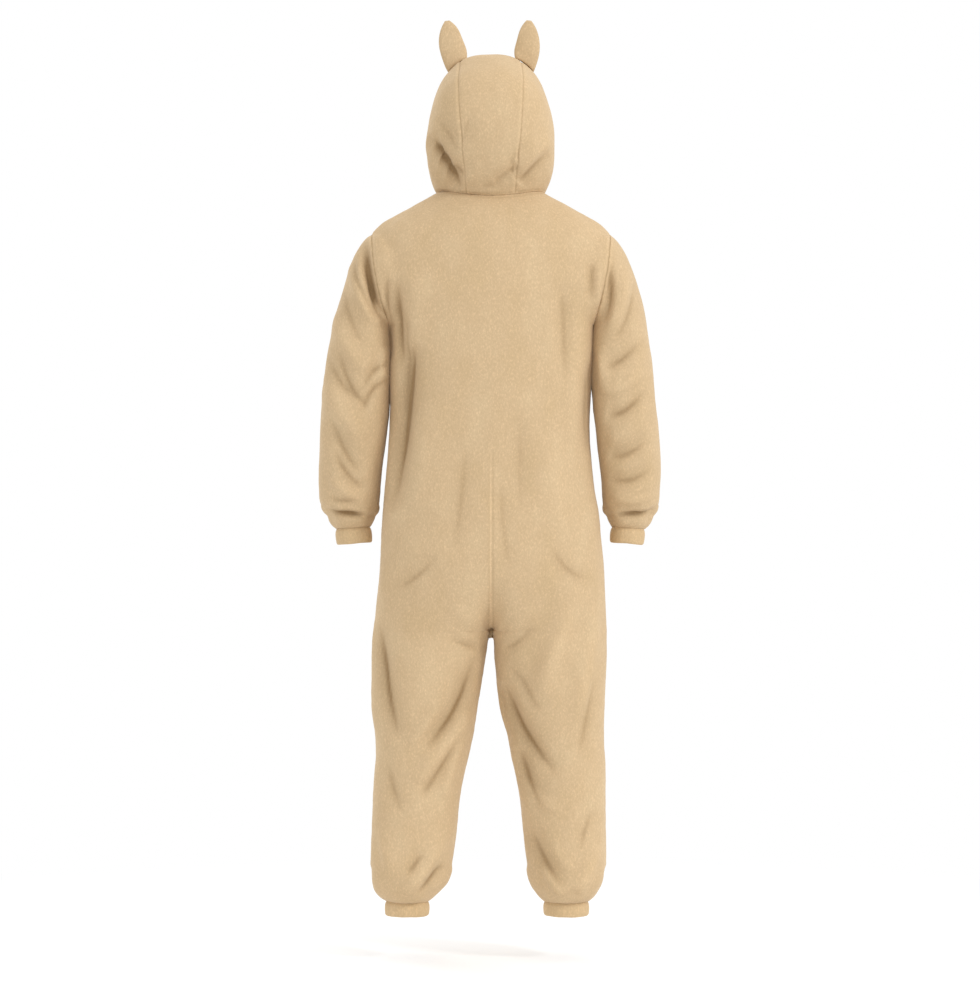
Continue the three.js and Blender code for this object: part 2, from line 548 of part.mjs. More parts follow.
// A point above the crotch, where two leg sections merge into one torso section. Both are read at the
// same distance from the centre, so the cloth keeps its fullness between them.
function saddlePoint(row, side, face, t) {
  const leg = legPoint(row.z, side, face, t);
  const torso = torsoPoint(row.z, side, face, t);
  const x = mix(Math.abs(leg.x), Math.abs(torso.x), row.torsoShare);
  const half = halfWidth(side, row.z);
  const fromLegCentre = clamp((2 * x) / half - 1, -1, 1);
  const legStand = Math.sqrt(1 - fromLegCentre ** 2);
  const power = valueAt(TORSO, row.z, "power");
  const torsoStand = (1 - clamp(x / half, 0, 1) ** (2 / power)) ** (power / 2);
  const depth = torsoDepth(row.z);
  const legDepth = sectionDepth(LEGS, row.z);
  const legY = legDepth.middle + face * legDepth.half * legStand;
  const torsoY = depth.middle + face * depth.half * torsoStand;
  return vec(side * x, mix(legY, torsoY, row.torsoShare), row.z);
}

function bodyPoint(row, side, face, t) {
  if (row.zone === "shoulder") return shoulderPoint(row, side, face, t);
  if (row.zone === "armhole") return armholePoint(row, side, face, t);
  if (row.zone === "saddle") return saddlePoint(row, side, face, t);
  if (row.zone === "torso") return torsoPoint(row.z, side, face, t);
  return legPoint(row.z, side, face, t);
}

// Both panels of one side, as grids whose first column is the centre or inner seam.
function bodyGrids(side) {
  const grids = {};
  for (const { name, face } of FACES) {
    grids[name] = ROWS.map((row) => {
      const points = [];
      for (let c = 0; c <= COLUMNS; c += 1) points.push(bodyPoint(row, side, face, c / COLUMNS));
      return points;
    });
  }
  return grids;
}

const isArmholeRow = (r) => r > TIP_ROW && r < ARMPIT_ROW;

// Normals of both panels of one side. Across a seam they take the neighbouring panel's points.
function bodyNormals(grids, side) {
  const normals = {};
  for (const { name, face } of FACES) {
    const own = grids[name];
    const other = grids[name === "back" ? "front" : "back"];
    const before = (r) => (r <= CROTCH_ROW ? mirrored(own[r][1]) : other[r][1]);
    const after = (r) => (isArmholeRow(r) ? own[r][COLUMNS] : other[r][COLUMNS - 1]);
    normals[name] = gridNormals(own, before, after, side * face);
  }
  for (const { name } of FACES) {
    for (let r = 0; r <= CROTCH_ROW; r += 1) {
      const normal = normals[name][r][0].setX(0);
      if (r === CROTCH_ROW) normal.set(0, 0, -1);
      normal.normalize();
    }
    for (let r = TIP_ROW; r <= ARMPIT_ROW; r += 1) {
      const at = grids[name][r][COLUMNS];
      const y = at.y / ARMHOLE_HALF_DEPTH ** 2;
      const z = (at.z - ARMHOLE_MIDDLE_Z) / ARMHOLE_HALF_HEIGHT ** 2;
      normals[name][r][COLUMNS].set(0, r === TIP_ROW || r === ARMPIT_ROW ? 0 : y, z).normalize();
    }
  }
  // A seam between the two panels has one normal on both.
  ROWS.forEach((_, r) => {
    if (r > CROTCH_ROW) shareNormal(normals.back[r][0], normals.front[r][0]);
    if (!isArmholeRow(r)) shareNormal(normals.back[r][COLUMNS], normals.front[r][COLUMNS]);
  });
  return normals;
}

function shareNormal(one, other) {
  one.add(other).normalize();
  other.copy(one);
}

// Moves each point of both panels out or in by the folds and by the gathers at the ankle.
function foldBody(grids, side) {
  const normals = bodyNormals(grids, side);
  for (const { name, face } of FACES) {
    grids[name].forEach((row, r) =>
      row.forEach((point, c) => {
        const onArmhole = c === COLUMNS && r >= TIP_ROW && r <= ARMPIT_ROW;
        if (r === 0 || (r === CROTCH_ROW && c === 0) || onArmhole) return;
        let height = foldHeight(BODY_FOLDS, point, normals[name][r][c]);
        const turn = Math.PI * (1 - face * (1 - c / COLUMNS));
        if (r > CROTCH_ROW && r < LAST_ROW) height += gatherHeight(ANKLE_GATHERS, turn, point.z);
        point.addScaledVector(normals[name][r][c], height);
      }),
    );
  }
}

// The normal of a seam ring between a wide piece and its narrower band: halfway between out and down.
function turnedUnder(ring) {
  const centre = ring.reduce((sum, point) => sum.add(point), vec(0, 0, 0)).divideScalar(ring.length);
  return ring.map((point) => {
    const out = point.clone().sub(centre).setZ(0).normalize();
    return out.setZ(-1).normalize();
  });
}

const body = {};
for (const { name, side } of SIDES) {
  const grids = bodyGrids(side);
  foldBody(grids, side);
  body[name] = { grids, normals: bodyNormals(grids, side) };
}

// The neck ring as one list, from the middle of the back round the left side to the front and back again.
function neckRing(pick) {
  const half = (side) => {
    const grids = pick(body[side]);
    return [...grids.back[0], ...grids.front[0].slice(0, COLUMNS).reverse()];
  };
  const left = half("left");
  const right = half("right").slice(1, -1).reverse();
  return [...left, ...right];
}

// The hood: hoops that share a pivot under the chin, with as many columns as the neck ring

const RING_COLUMNS = 4 * COLUMNS;

function hoopPoint(hoop, turn) {
  const reach = (hoop.reach / 2) * (1 + signedPower(Math.cos(turn), hoop.power));
  const x = hoop.half * signedPower(Math.sin(turn), hoop.power);
  const raised = radians(hoop.angle);
  return vec(x, HOOD_PIVOT.y + reach * Math.cos(raised), HOOD_PIVOT.z + hoop.rise + reach * Math.sin(raised));
}

// What the neck ring adds to a plain hoop of its size.
const NECK_HOOP = { angle: 15.9, reach: 157, half: SHOULDER_ROWS[0].half, power: 1, rise: 0 };

function hoodGrid() {
  const neck = neckRing((half) => half.grids);
  const rows = [neck];
  HOOD_HOOPS.forEach((hoop, i) => {
    const share = 1 - smooth((i + 1) / (NECK_BLEND_HOOPS + 1));
    const row = neck.map((seamPoint, c) => {
      const turn = (2 * Math.PI * c) / RING_COLUMNS;
      const offset = seamPoint.clone().sub(hoopPoint(NECK_HOOP, turn));
      return hoopPoint(hoop, turn).addScaledVector(offset, share);
    });
    rows.push(row);
  });
  return rows;
}

function hoodNormals(grid) {
  const last = RING_COLUMNS - 1;
  const normals = gridNormals(grid, (r) => grid[r][last], (r) => grid[r][0], -1);
  const front = RING_COLUMNS / 2;
  normals.forEach((row) => {
    row[0].setX(0).normalize();
    row[front].set(0, -1, 0);
  });
  return normals;
}

const hood = hoodGrid();
const plainHoodNormals = hoodNormals(hood);
hood.forEach((row, r) =>
  row.forEach((point, c) => {
    if (r === 0 || r === hood.length - 1) return;
    const normal = plainHoodNormals[r][c];
    point.addScaledVector(normal, foldHeight(HOOD_FOLDS, point, normal));
  }),
);
const normalsOfHood = hoodNormals(hood);

// At the neck seam the hood and the body share a normal halfway between their own.
{
  const bodyRing = neckRing((half) => half.normals);
  bodyRing.forEach((normal, c) => shareNormal(normal, normalsOfHood[0][c]));
}

// Body panels

for (const { name: sideName, side } of SIDES) {
  for (const { name, face } of FACES) {
    const grid = body[sideName].grids[name];
    const normals = body[sideName].normals[name];
    const { back, front } = body[sideName].grids;
    const ring = turnedUnder([...back[LAST_ROW], ...front[LAST_ROW]]);
    const start = name === "back" ? 0 : COLUMNS + 1;
    normals[LAST_ROW] = ring.slice(start, start + COLUMNS + 1);
    const special = (r, c) => {
      if (r === CROTCH_ROW && c === 0) return vec(side, face, 0);
      if ((r === TIP_ROW || r === ARMPIT_ROW) && c === COLUMNS) return vec(-side, face, 0);
      if (r < CROTCH_ROW && r > 0 && c === 0) return vec(side, 0, 0);
      return null;
    };
    const edges = { first: true, last: true, top: true, bottom: true };
    const shifts = seamShifts(grid, normals, edges, special);
    addClothPiece(`${name}_${sideName}`, grid, normals, shifts, side * face < 0);
  }
}

// Hood pieces: each takes some of the hoops' columns

function addHoodPiece(name, columns) {
  const pick = (grid) => grid.map((row) => columns.map((c) => row[c]));
  const grid = pick(hood);
  const normals = pick(normalsOfHood);
  const shifts = seamShifts(grid, normals, { first: true, last: true, top: true, bottom: false });
  addClothPiece(name, grid, normals, shifts, true);
}

const columnsFrom = (first, count) =>
  Array.from({ length: count + 1 }, (_, i) => (first + i + RING_COLUMNS) % RING_COLUMNS);

const SIDE_PANEL_COLUMNS = RING_COLUMNS / 2 - CENTRE_PANEL_COLUMNS;
addHoodPiece("hood_centre", columnsFrom(-CENTRE_PANEL_COLUMNS, 2 * CENTRE_PANEL_COLUMNS));
addHoodPiece("hood_left", columnsFrom(CENTRE_PANEL_COLUMNS, SIDE_PANEL_COLUMNS));
addHoodPiece("hood_right", columnsFrom(RING_COLUMNS / 2, SIDE_PANEL_COLUMNS));

// Ears: padded leaves whose base follows the hood

// A point just off the hood at a column and a hoop that need not be whole numbers.
function onHood(column, hoop) {
  const c = Math.floor(column);
  const r = Math.floor(hoop);
  const along = (grid, row) => mixPoints(grid[row][c], grid[row][(c + 1) % RING_COLUMNS], column - c);
  const point = mixPoints(along(hood, r), along(hood, r + 1), hoop - r);
  const normal = mixPoints(along(normalsOfHood, r), along(normalsOfHood, r + 1), hoop - r);
  return point.addScaledVector(normal.normalize(), EAR_BASE.off);
}

function earBase(side) {
  const degreesPerColumn = 360 / RING_COLUMNS;
  return Array.from({ length: EAR_POINTS }, (_, i) => {
    const turn = (2 * Math.PI * i) / EAR_POINTS;
    const angle = EAR_BASE.angle + EAR_BASE.halfAngle * Math.cos(turn);
    const column = (side * angle) / degreesPerColumn;
    const hoop = EAR_BASE.hoop - EAR_BASE.halfHoop * Math.sin(turn);
    return onHood((column + RING_COLUMNS) % RING_COLUMNS, hoop);
  });
}

function addEar({ name, side, lean }) {
  const base = earBase(side);
  const middleY = base.reduce((sum, point) => sum + point.y, 0) / base.length;
  const rings = [base];
  EAR_SLICES.forEach((slice, s) => {
    const share = (s + 1) / EAR_SLICES.length;
    const ring = base.map((_, i) => {
      const turn = (2 * Math.PI * i) / EAR_POINTS;
      const across = (1 + Math.cos(turn)) / 2;
      const x = mix(slice.inX, slice.outX, across) + lean * share;
      return vec(side * x, middleY + slice.half * Math.sin(turn), mix(slice.inZ, slice.outZ, across));
    });
    rings.push(ring);
  });
  const surface = new Surface();
  const at = surface.addGrid(rings);
  const turned = side > 0;
  for (let r = 0; r < rings.length - 1; r += 1) {
    for (let i = 0; i < EAR_POINTS; i += 1) {
      const n = (i + 1) % EAR_POINTS;
      surface.quad(at[r][i], at[r + 1][i], at[r + 1][n], at[r][n], turned);
    }
  }
  // Each end is closed by strips across the thin way, so the base keeps the hood's curve.
  for (const [ring, facing] of [[at[0], turned], [at[rings.length - 1], !turned]]) {
    const half = EAR_POINTS / 2;
    for (let i = 0; i < half; i += 1) {
      const [a, b] = [ring[i], ring[i + 1]];
      const [c, d] = [ring[(EAR_POINTS - i - 1) % EAR_POINTS], ring[(EAR_POINTS - i) % EAR_POINTS]];
      if (i === 0) surface.faces.push(...(facing ? [a, c, b] : [a, b, c]));
      else if (i === half - 1) surface.faces.push(...(facing ? [a, d, b] : [a, b, d]));
      else surface.quad(a, b, c, d, facing);
    }
  }
  addPiece(name, surface.geometry());
}

EARS.forEach(addEar);

// Sleeves: rings from the armhole to the wrist, with a seam along the underside

const SLEEVE_COLUMNS = 2 * ARMHOLE_STEPS;

// The armhole seam as the sleeve's first ring, from the armpit up the front and down the back.
function armholeRing(pick) {
  const edge = (face) => pick[face].slice(TIP_ROW, ARMPIT_ROW + 1).map((row) => row[COLUMNS].clone());
  return [...edge("front").reverse(), ...edge("back").slice(1)];
}

function sleeveRingPoint(ring, side, turn) {
  const outX = side > 0 ? ring.outLeft : ring.outRight;
  const along = (1 + signedPower(Math.cos(turn), SLEEVE_SQUARENESS)) / 2;
  const y = ring.mid + ring.half * signedPower(Math.sin(turn), SLEEVE_SQUARENESS);
  return vec(side * mix(ring.in, outX, along), y, mix(ring.inZ, ring.outZ, along));
}

// The armhole as a plain ring, to tell how the real seam departs from it.
const PLAIN_ARMHOLE = {
  outZ: TIP.z, outLeft: TIP.x, outRight: TIP.x, inZ: ARMPIT.z, in: ARMPIT.x, mid: 0, half: ARMHOLE_HALF_DEPTH,
};

const sleeveTurn = (c) => -Math.PI + (2 * Math.PI * c) / SLEEVE_COLUMNS;

function sleeveGrid(seam, side) {
  const rows = [seam];
  SLEEVE_RINGS.forEach((ring, i) => {
    const share = 1 - smooth((i + 1) / (CAP_RINGS + 1));
    const row = seam.map((seamPoint, c) => {
      const offset = seamPoint.clone().sub(sleeveRingPoint(PLAIN_ARMHOLE, side, sleeveTurn(c)));
      return sleeveRingPoint(ring, side, sleeveTurn(c)).addScaledVector(offset, share);
    });
    rows.push(row);
  });
  return rows;
}

function sleeveNormals(grid, seamNormals, side) {
  const normals = gridNormals(grid, (r) => grid[r][SLEEVE_COLUMNS - 1], (r) => grid[r][1], -side);
  normals[0] = seamNormals;
  normals.forEach((row) => shareNormal(row[0], row[SLEEVE_COLUMNS]));
  return normals;
}

const wrists = {};
for (const { name, side } of SIDES) {
  const seam = armholeRing(body[name].grids);
  const seamNormals = armholeRing(body[name].normals);
  const grid = sleeveGrid(seam, side);
  const plain = sleeveNormals(grid, seamNormals, side);
  const last = grid.length - 1;
  grid.forEach((row, r) =>
    row.forEach((point, c) => {
      if (r === 0 || r === last) return;
      const height =
        foldHeight(SLEEVE_FOLDS, point, plain[r][c]) + gatherHeight(WRIST_GATHERS, sleeveTurn(c), point.z);
      point.addScaledVector(plain[r][c], height);
    }),
  );
  const normals = sleeveNormals(grid, seamNormals, side);
  normals[last] = turnedUnder(grid[last]);
  const special = (r, c) => {
    if (r > 0) return null;
    if (c === 0) return vec(side, -1, 0);
    if (c === SLEEVE_COLUMNS) return vec(side, 1, 0);
    return null;
  };
  const shifts = seamShifts(grid, normals, { first: true, last: true, top: true, bottom: true }, special);
  addClothPiece(`sleeve_${name}`, grid, normals, shifts, side > 0);
  wrists[name] = grid[last].slice(0, SLEEVE_COLUMNS);
}

// Cuffs: closed bands that hang from a seam ring

function addCuff(name, ring, height, slant) {
  const centre = ring.reduce((sum, point) => sum.add(point), vec(0, 0, 0)).divideScalar(ring.length);
  const out = ring.map((point) => point.clone().sub(centre).setZ(0).normalize());
  const outer = CUFF_RINGS.map((row) =>
    ring.map((point, i) => {
      const drop = HALF_GAP + row.down * height;
      return point.clone().addScaledVector(out[i], row.out).add(vec(slant * row.down, 0, -drop));
    }),
  );
  const inner = outer.map((row) => row.map((point, i) => point.clone().addScaledVector(out[i], -CUFF_CLOTH)));
  // The top edge slopes down towards the outside, as the seam above it does.
  inner[0].forEach((point) => point.setZ(point.z + CUFF_TOP_RISE));
  const across = ring[1].clone().sub(ring[0]);
  const turned = across.cross(vec(0, 0, -1)).dot(out[0]) < 0;
  addPiece(name, wallGeometry(outer, inner, { closed: true, turned }));
}

for (const { name, side } of SIDES) {
  addCuff(`wrist_cuff_${name}`, wrists[name], WRIST_CUFF_HEIGHT, side * -WRIST_SLANT);
  const { back, front } = body[name].grids;
  const ankle = [...back[LAST_ROW], ...front[LAST_ROW].slice(1, -1).reverse()];
  addCuff(`ankle_cuff_${name}`, ankle, ANKLE_CUFF_HEIGHT, 0);
}

// Placket and buttons

// A place on the front at a row and a short way to either side of the centre seam, with its normal.
function onFront(r, x) {
  const { grids, normals } = body[x < 0 ? "right" : "left"];
  const [seam, next] = grids.front[r];
  const share = Math.abs(x) / Math.abs(next.x);
  return {
    point: mixPoints(seam, next, share),
    normal: mixPoints(normals.front[r][0], normals.front[r][1], share).normalize(),
  };
}

const placketRows = ROWS.map((_, r) => r).filter((r) => {
  const seam = body.left.grids.front[r][0];
  return r > 0 && seam.z >= PLACKET_BOTTOM_Z;
});
const placketPlaces = placketRows.map((r) =>
  [-PLACKET_HALF_WIDTH, 0, PLACKET_HALF_WIDTH].map((x) => onFront(r, x)),
);
const raised = (height) =>
  placketPlaces.map((row) => row.map(({ point, normal }) => point.clone().addScaledVector(normal, height)));
const placketTop = raised(SEAM_GAP + CLOTH);
addPiece("placket", wallGeometry(placketTop, raised(SEAM_GAP), { turned: true }));

// The placket's middle line at a height, and the way it faces there.
function onPlacket(z) {
  const below = placketTop.findIndex((row) => row[1].z <= z);
  const [a, b] = [placketTop[below - 1], placketTop[below]];
  const share = (z - a[1].z) / (b[1].z - a[1].z);
  const down = b[1].clone().sub(a[1]).normalize();
  const normal = vec(1, 0, 0).cross(down).normalize();
  if (normal.y > 0) normal.negate();
  return { point: mixPoints(a[1], b[1], share), normal };
}

// How far the placket rises above a button's seat under the button.
function highestUnder(seat) {
  let highest = 0;
  placketTop.forEach((row) =>
    row.forEach((point) => {
      const away = point.clone().sub(seat.point);
      if (Math.abs(away.z) < BUTTON.radius) highest = Math.max(highest, away.dot(seat.normal));
    }),
  );
  return highest;
}

const buttonProfile = [
  [0, 0],
  [BUTTON.radius - BUTTON.bevel, 0],
  [BUTTON.radius, BUTTON.thickness * BUTTON.widestAt],
  [BUTTON.radius - BUTTON.bevel, BUTTON.thickness],
  [BUTTON.radius - BUTTON.rim, BUTTON.thickness - BUTTON.dish],
  [0, BUTTON.thickness - BUTTON.dish],
].map(([x, y]) => new THREE.Vector2(x, y));

for (let i = 0; i < BUTTON_PLACES.count; i += 1) {
  const share = i / (BUTTON_PLACES.count - 1);
  const seat = onPlacket(mix(BUTTON_PLACES.firstZ, BUTTON_PLACES.lastZ, share));
  const mesh = new THREE.Mesh(new THREE.LatheGeometry(buttonProfile, BUTTON.sides), BUTTON_PLASTIC);
  mesh.name = `button_${i + 1}`;
  mesh.position.copy(seat.point).addScaledVector(seat.normal, SEAM_GAP + highestUnder(seat));
  mesh.quaternion.setFromUnitVectors(vec(0, 1, 0), seat.normal);
  onesie.add(mesh);
}

export default onesie;
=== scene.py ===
# %% [markdown]
# # A fleece onesie with an eared hood
#
# The real garment is a loose one-piece suit of brushed polyester fleece. It is cut as four long body
# panels, two sleeves, a hood of three pieces with two padded ears, and folded cuffs, and it closes at
# the front with a buttoned placket. It keeps the hollow form in which it is worn.
#
# The frame holds each sewn piece as a plain wall of cloth. This lesson reads each wall's outer face back
# as a grid of rows and columns, lays a much finer smooth surface through it, and then places the folds,
# seams and puckers. A cloth simulation could make folds too, but not these folds in these places.

# %% Load the frame
import json
import math

import bmesh
import bpy
import numpy as np
from mathutils import Matrix, Vector, noise
from mathutils.bvhtree import BVHTree

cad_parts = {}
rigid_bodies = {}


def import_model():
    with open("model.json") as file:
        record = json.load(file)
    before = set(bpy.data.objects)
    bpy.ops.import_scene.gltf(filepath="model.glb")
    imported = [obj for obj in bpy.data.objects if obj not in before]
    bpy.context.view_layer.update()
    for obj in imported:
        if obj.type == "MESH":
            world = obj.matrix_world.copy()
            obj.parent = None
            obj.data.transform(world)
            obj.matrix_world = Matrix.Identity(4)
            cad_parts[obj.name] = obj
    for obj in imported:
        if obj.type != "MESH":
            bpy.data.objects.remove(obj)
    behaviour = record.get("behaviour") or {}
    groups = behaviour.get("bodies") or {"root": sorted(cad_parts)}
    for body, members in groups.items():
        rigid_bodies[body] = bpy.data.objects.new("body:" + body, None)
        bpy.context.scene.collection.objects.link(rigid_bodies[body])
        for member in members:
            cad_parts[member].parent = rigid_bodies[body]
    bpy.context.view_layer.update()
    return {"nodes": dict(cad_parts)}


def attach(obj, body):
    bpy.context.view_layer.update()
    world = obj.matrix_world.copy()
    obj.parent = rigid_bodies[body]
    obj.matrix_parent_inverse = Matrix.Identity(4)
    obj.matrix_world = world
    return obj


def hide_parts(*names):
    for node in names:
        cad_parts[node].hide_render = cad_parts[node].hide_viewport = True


for leftover in list(bpy.data.objects):
    bpy.data.objects.remove(leftover)
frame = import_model()
MM = 0.001

# %% [markdown]
# ## Colours and shader nodes
#
# Colours are given as sRGB hex values, because that is how a colour picker shows them, and one function
# turns them into the linear values that shaders work in. The others add a shader node with its settings
# and its links, so that each material below reads as a short list, or put an object into the scene.

# %% Helpers
def linear(hex_colour):
    """A hex colour as linear red, green, blue and alpha."""
    values = [int(hex_colour[i : i + 2], 16) / 255 for i in (1, 3, 5)]
    return (*[v / 12.92 if v <= 0.04045 else ((v + 0.055) / 1.055) ** 2.4 for v in values], 1.0)


def add_node(tree, kind, settings=None, links=None):
    """A new node, with its properties or input values set and its inputs linked."""
    node = tree.nodes.new(kind)
    for name, value in (settings or {}).items():
        if isinstance(name, str) and hasattr(node, name):
            setattr(node, name, value)
        else:
            node.inputs[name].default_value = value
    for name, source in (links or {}).items():
        tree.links.new(source, node.inputs[name])
    return node


def new_material(name):
    """An empty node material, its tree and its output node."""
    material = bpy.data.materials.new(name)
    material.use_nodes = True
    material.node_tree.nodes.clear()
    output = add_node(material.node_tree, "ShaderNodeOutputMaterial")
    return material, material.node_tree, output


def per_metre(size_mm):
    """The scale of a texture whose grains are about this many millimetres across."""
    return 1000 / size_mm


def noise_value(tree, place, size_mm, settings):
    """The grey value of a noise texture with grains of a size in millimetres."""
    settings = {"Scale": per_metre(size_mm), **settings}
    return add_node(tree, "ShaderNodeTexNoise", settings, {"Vector": place}).outputs[0]


def mapped(tree, value, settings):
    """A value moved from one range to another."""
    return add_node(tree, "ShaderNodeMapRange", settings, {"Value": value}).outputs[0]


def bump(tree, height, strength, distance_mm, below=None):
    """Fine relief from a grey value, which can lie on top of other relief."""
    links = {"Height": height} if below is None else {"Height": height, "Normal": below}
    settings = {"Strength": strength, "Distance": distance_mm * MM}
    return add_node(tree, "ShaderNodeBump", settings, links).outputs[0]


def finish_material(tree, output, settings, links):
    """Sets a material's surface."""
    shader = add_node(tree, "ShaderNodeBsdfPrincipled", settings, links)
    tree.links.new(shader.outputs[0], output.inputs["Surface"])


def placed(name, data):
    """A new object in the scene."""
    made = bpy.data.objects.new(name, data)
    bpy.context.scene.collection.objects.link(made)
    return made


def mesh_from(name, made):
    """A mesh of what a bmesh holds. The bmesh is freed."""
    mesh = bpy.data.meshes.new(name)
    made.to_mesh(mesh)
    made.free()
    return mesh


# %% [markdown]
# ## Brushed polyester fleece
#
# Fleece is knitted from polyester, then brushed until its loops open into a short, dense nap. The nap
# scatters light, so the surface is matt with a faint pale glow at grazing angles, which the sheen layer
# gives. Brushing never lies quite evenly: broad patches lean one way or the other and look a little
# lighter or darker, and short tufts make a fine speckle. The real tufts are about 1 mm, too fine to show
# from a few metres away, so the speckle here is drawn about 3 mm across. Each point of the cloth carries a
# shade value, which the last colour ramp reads: painted shade in creases and along seams, and painted
# highlight on ridges.

# %% Fleece
FLEECE_HEX = {"deep": "#c3a984", "middle": "#c6ac88", "light": "#c9b08c"}
PATCH_MM = 70
SPECKLE_MM = 3.2
TUFT_MM = 1.6
PLAIN = (1, 1, 1, 1)
GRAIN_STEPS = [(0.36, (0.93, 0.925, 0.91, 1)), (0.54, PLAIN), (0.68, (1.16, 1.15, 1.14, 1))]
# Painted shade below the middle, for creases and seam lines, and painted highlight above it, for ridges
PAINTED_SHADE_STEPS = [(0.0, (0.52, 0.46, 0.38, 1)), (0.5, PLAIN), (1.0, (1.16, 1.16, 1.16, 1))]
TONE_PLACES = {"deep": 0.32, "middle": 0.5, "light": 0.68}


def colour_steps(tree, source, steps):
    """A colour ramp over a value, from (position, colour) pairs."""
    ramp = add_node(tree, "ShaderNodeValToRGB", links={"Fac": source})
    elements = ramp.color_ramp.elements
    for _ in range(len(steps) - len(elements)):
        elements.new(0.5)
    for element, (position, colour) in zip(elements, steps):
        element.position = position
        element.color = colour
    return ramp.outputs["Color"]


def fleece_material(name, tones, sheen):
    """Brushed fleece in three tones, darkened by painted shade and lightened by painted highlight at each
    point.
    """
    material, tree, output = new_material(name)
    place = add_node(tree, "ShaderNodeTexCoord").outputs["Object"]
    # The nap hangs down, so patches and tufts are longer than they are wide.
    combed = add_node(tree, "ShaderNodeMapping", {"Scale": (1, 1, 0.6)}, {"Vector": place}).outputs[0]
    patches = noise_value(tree, combed, PATCH_MM, {"Detail": 4, "Roughness": 0.6})
    speckle = noise_value(tree, combed, SPECKLE_MM, {"Detail": 3, "Roughness": 0.7})
    tufts = noise_value(tree, place, TUFT_MM, {"Detail": 2})
    colour = colour_steps(tree, patches, [(at, linear(tones[tone])) for tone, at in TONE_PLACES.items()])
    # Each point's shade value: painted shade in creases and along seams, painted highlight on ridges
    painted_shade_value = add_node(tree, "ShaderNodeAttribute", {"attribute_name": "shade"}).outputs["Fac"]
    depth = mapped(tree, painted_shade_value, {"From Min": -1.0})
    for layer in (colour_steps(tree, speckle, GRAIN_STEPS), colour_steps(tree, depth, PAINTED_SHADE_STEPS)):
        settings = {"data_type": "RGBA", "blend_type": "MULTIPLY", 0: 1.0}
        colour = add_node(tree, "ShaderNodeMix", settings, {6: colour, 7: layer}).outputs[2]
    rough = mapped(tree, speckle, {"To Min": 0.86, "To Max": 1.0})
    relief = bump(tree, tufts, 0.45, 0.5, below=bump(tree, speckle, 0.5, 1.1))
    glow = {"Sheen Weight": sheen, "Sheen Roughness": 0.4, "Sheen Tint": linear("#fff0d8")}
    links = {"Base Color": colour, "Roughness": rough, "Normal": relief}
    finish_material(tree, output, {**glow, "Specular IOR Level": 0.15}, links)
    return material


fleece = fleece_material("brushed_polyester_fleece", FLEECE_HEX, 0.3)
# The cuffs are the same cloth pulled tight over a hidden band, so their nap lies flatter and a touch paler.
CUFF_HEX = {"deep": "#c5aa83", "middle": "#c8ad86", "light": "#cbb08a"}
cuff_fleece = fleece_material("stretched_cuff_fleece", CUFF_HEX, 0.25)
print("fleece materials:", fleece.name, cuff_fleece.name)

# %% [markdown]
# ## Moulded buttons and spun thread
#
# The buttons are moulded polyester resin: smooth and slightly glossy, in a brown darker than the cloth,
# with faint cloudy streaks from the casting. The thread is spun polyester, matt, a shade deeper than the
# fleece.

# %% Button resin and thread
def resin_material():
    """Moulded brown resin with cloudy streaks and fine scratches."""
    material, tree, output = new_material("moulded_polyester_resin")
    place = add_node(tree, "ShaderNodeTexCoord").outputs["Object"]
    clouds = noise_value(tree, place, 7, {"Detail": 3, "Distortion": 1.2})
    scratches = noise_value(tree, place, 0.8, {"Detail": 2})
    links = {
        "Base Color": colour_steps(tree, clouds, [(0.35, linear("#7c5a36")), (0.65, linear("#9a7449"))]),
        "Roughness": mapped(tree, scratches, {"To Min": 0.28, "To Max": 0.42}),
        "Normal": bump(tree, scratches, 0.08, 0.2),
    }
    finish_material(tree, output, {"IOR": 1.5}, links)
    return material


def thread_material():
    """Matt spun thread, with its twist as slanting bands."""
    material, tree, output = new_material("spun_polyester_thread")
    place = add_node(tree, "ShaderNodeTexCoord").outputs["Object"]
    settings = {"Scale": per_metre(4), "Distortion": 1.0, "bands_direction": "DIAGONAL"}
    twist = add_node(tree, "ShaderNodeTexWave", settings, {"Vector": place}).outputs["Fac"]
    links = {
        "Base Color": colour_steps(tree, twist, [(0.2, linear("#8f744e")), (0.8, linear("#ab8f67"))]),
        "Normal": bump(tree, twist, 0.3, 0.2),
    }
    finish_material(tree, output, {"Roughness": 0.8}, links)
    return material


resin = resin_material()
thread = thread_material()
print("small materials:", resin.name, thread.name)

# %% [markdown]
# ## Camera and studio
#
# The photograph looks straight at the back from about the middle of the garment's height, with a long
# lens. The picture is 980 pixels wide and one pixel is 2.02 mm at the garment, which sets the lens. The
# garment hangs in a plain white room with a soft light high on the picture's right, so the folds are
# shaded on their left, and a weaker one for the front. A pale floor lies 9 cm below the ankle cuffs.
# Further out it turns into the white of the room, so that no edge of it shows.

# %% Camera
MM_PER_PIXEL = 2.02
PICTURE_PIXELS = 980
CAMERA_DISTANCE = 7.0
CAMERA_PLACE = Vector((2 * MM, CAMERA_DISTANCE, -591 * MM))
SENSOR_MM = 36


def make_camera():
    """The camera behind the garment."""
    data = bpy.data.cameras.new("camera")
    data.sensor_width = SENSOR_MM
    data.lens = SENSOR_MM * CAMERA_DISTANCE / (PICTURE_PIXELS * MM_PER_PIXEL * MM)
    camera = placed("camera", data)
    camera.location = CAMERA_PLACE
    camera.rotation_euler = (math.radians(90), 0, math.radians(180))
    bpy.context.scene.camera = camera
    return camera


camera = make_camera()
print("lens in mm:", round(camera.data.lens, 1))

# %% Studio
LIGHTS = [
    {"name": "key_light", "place": (-4.2, 3.4, 2.6), "watts": 100, "size": 1.0},
    {"name": "front_light", "place": (2.6, -3.4, 1.6), "watts": 40, "size": 2.2},
]
AIM = Vector((0, 0, -0.55))
# The room's walls are brightest high on the side of the key light.
BRIGHT_SIDE = (-0.62, 0.3, 0.72)
ROOM_LIGHT = {"From Min": -1.0, "From Max": 1.0, "To Min": 0.82, "To Max": 1.22}


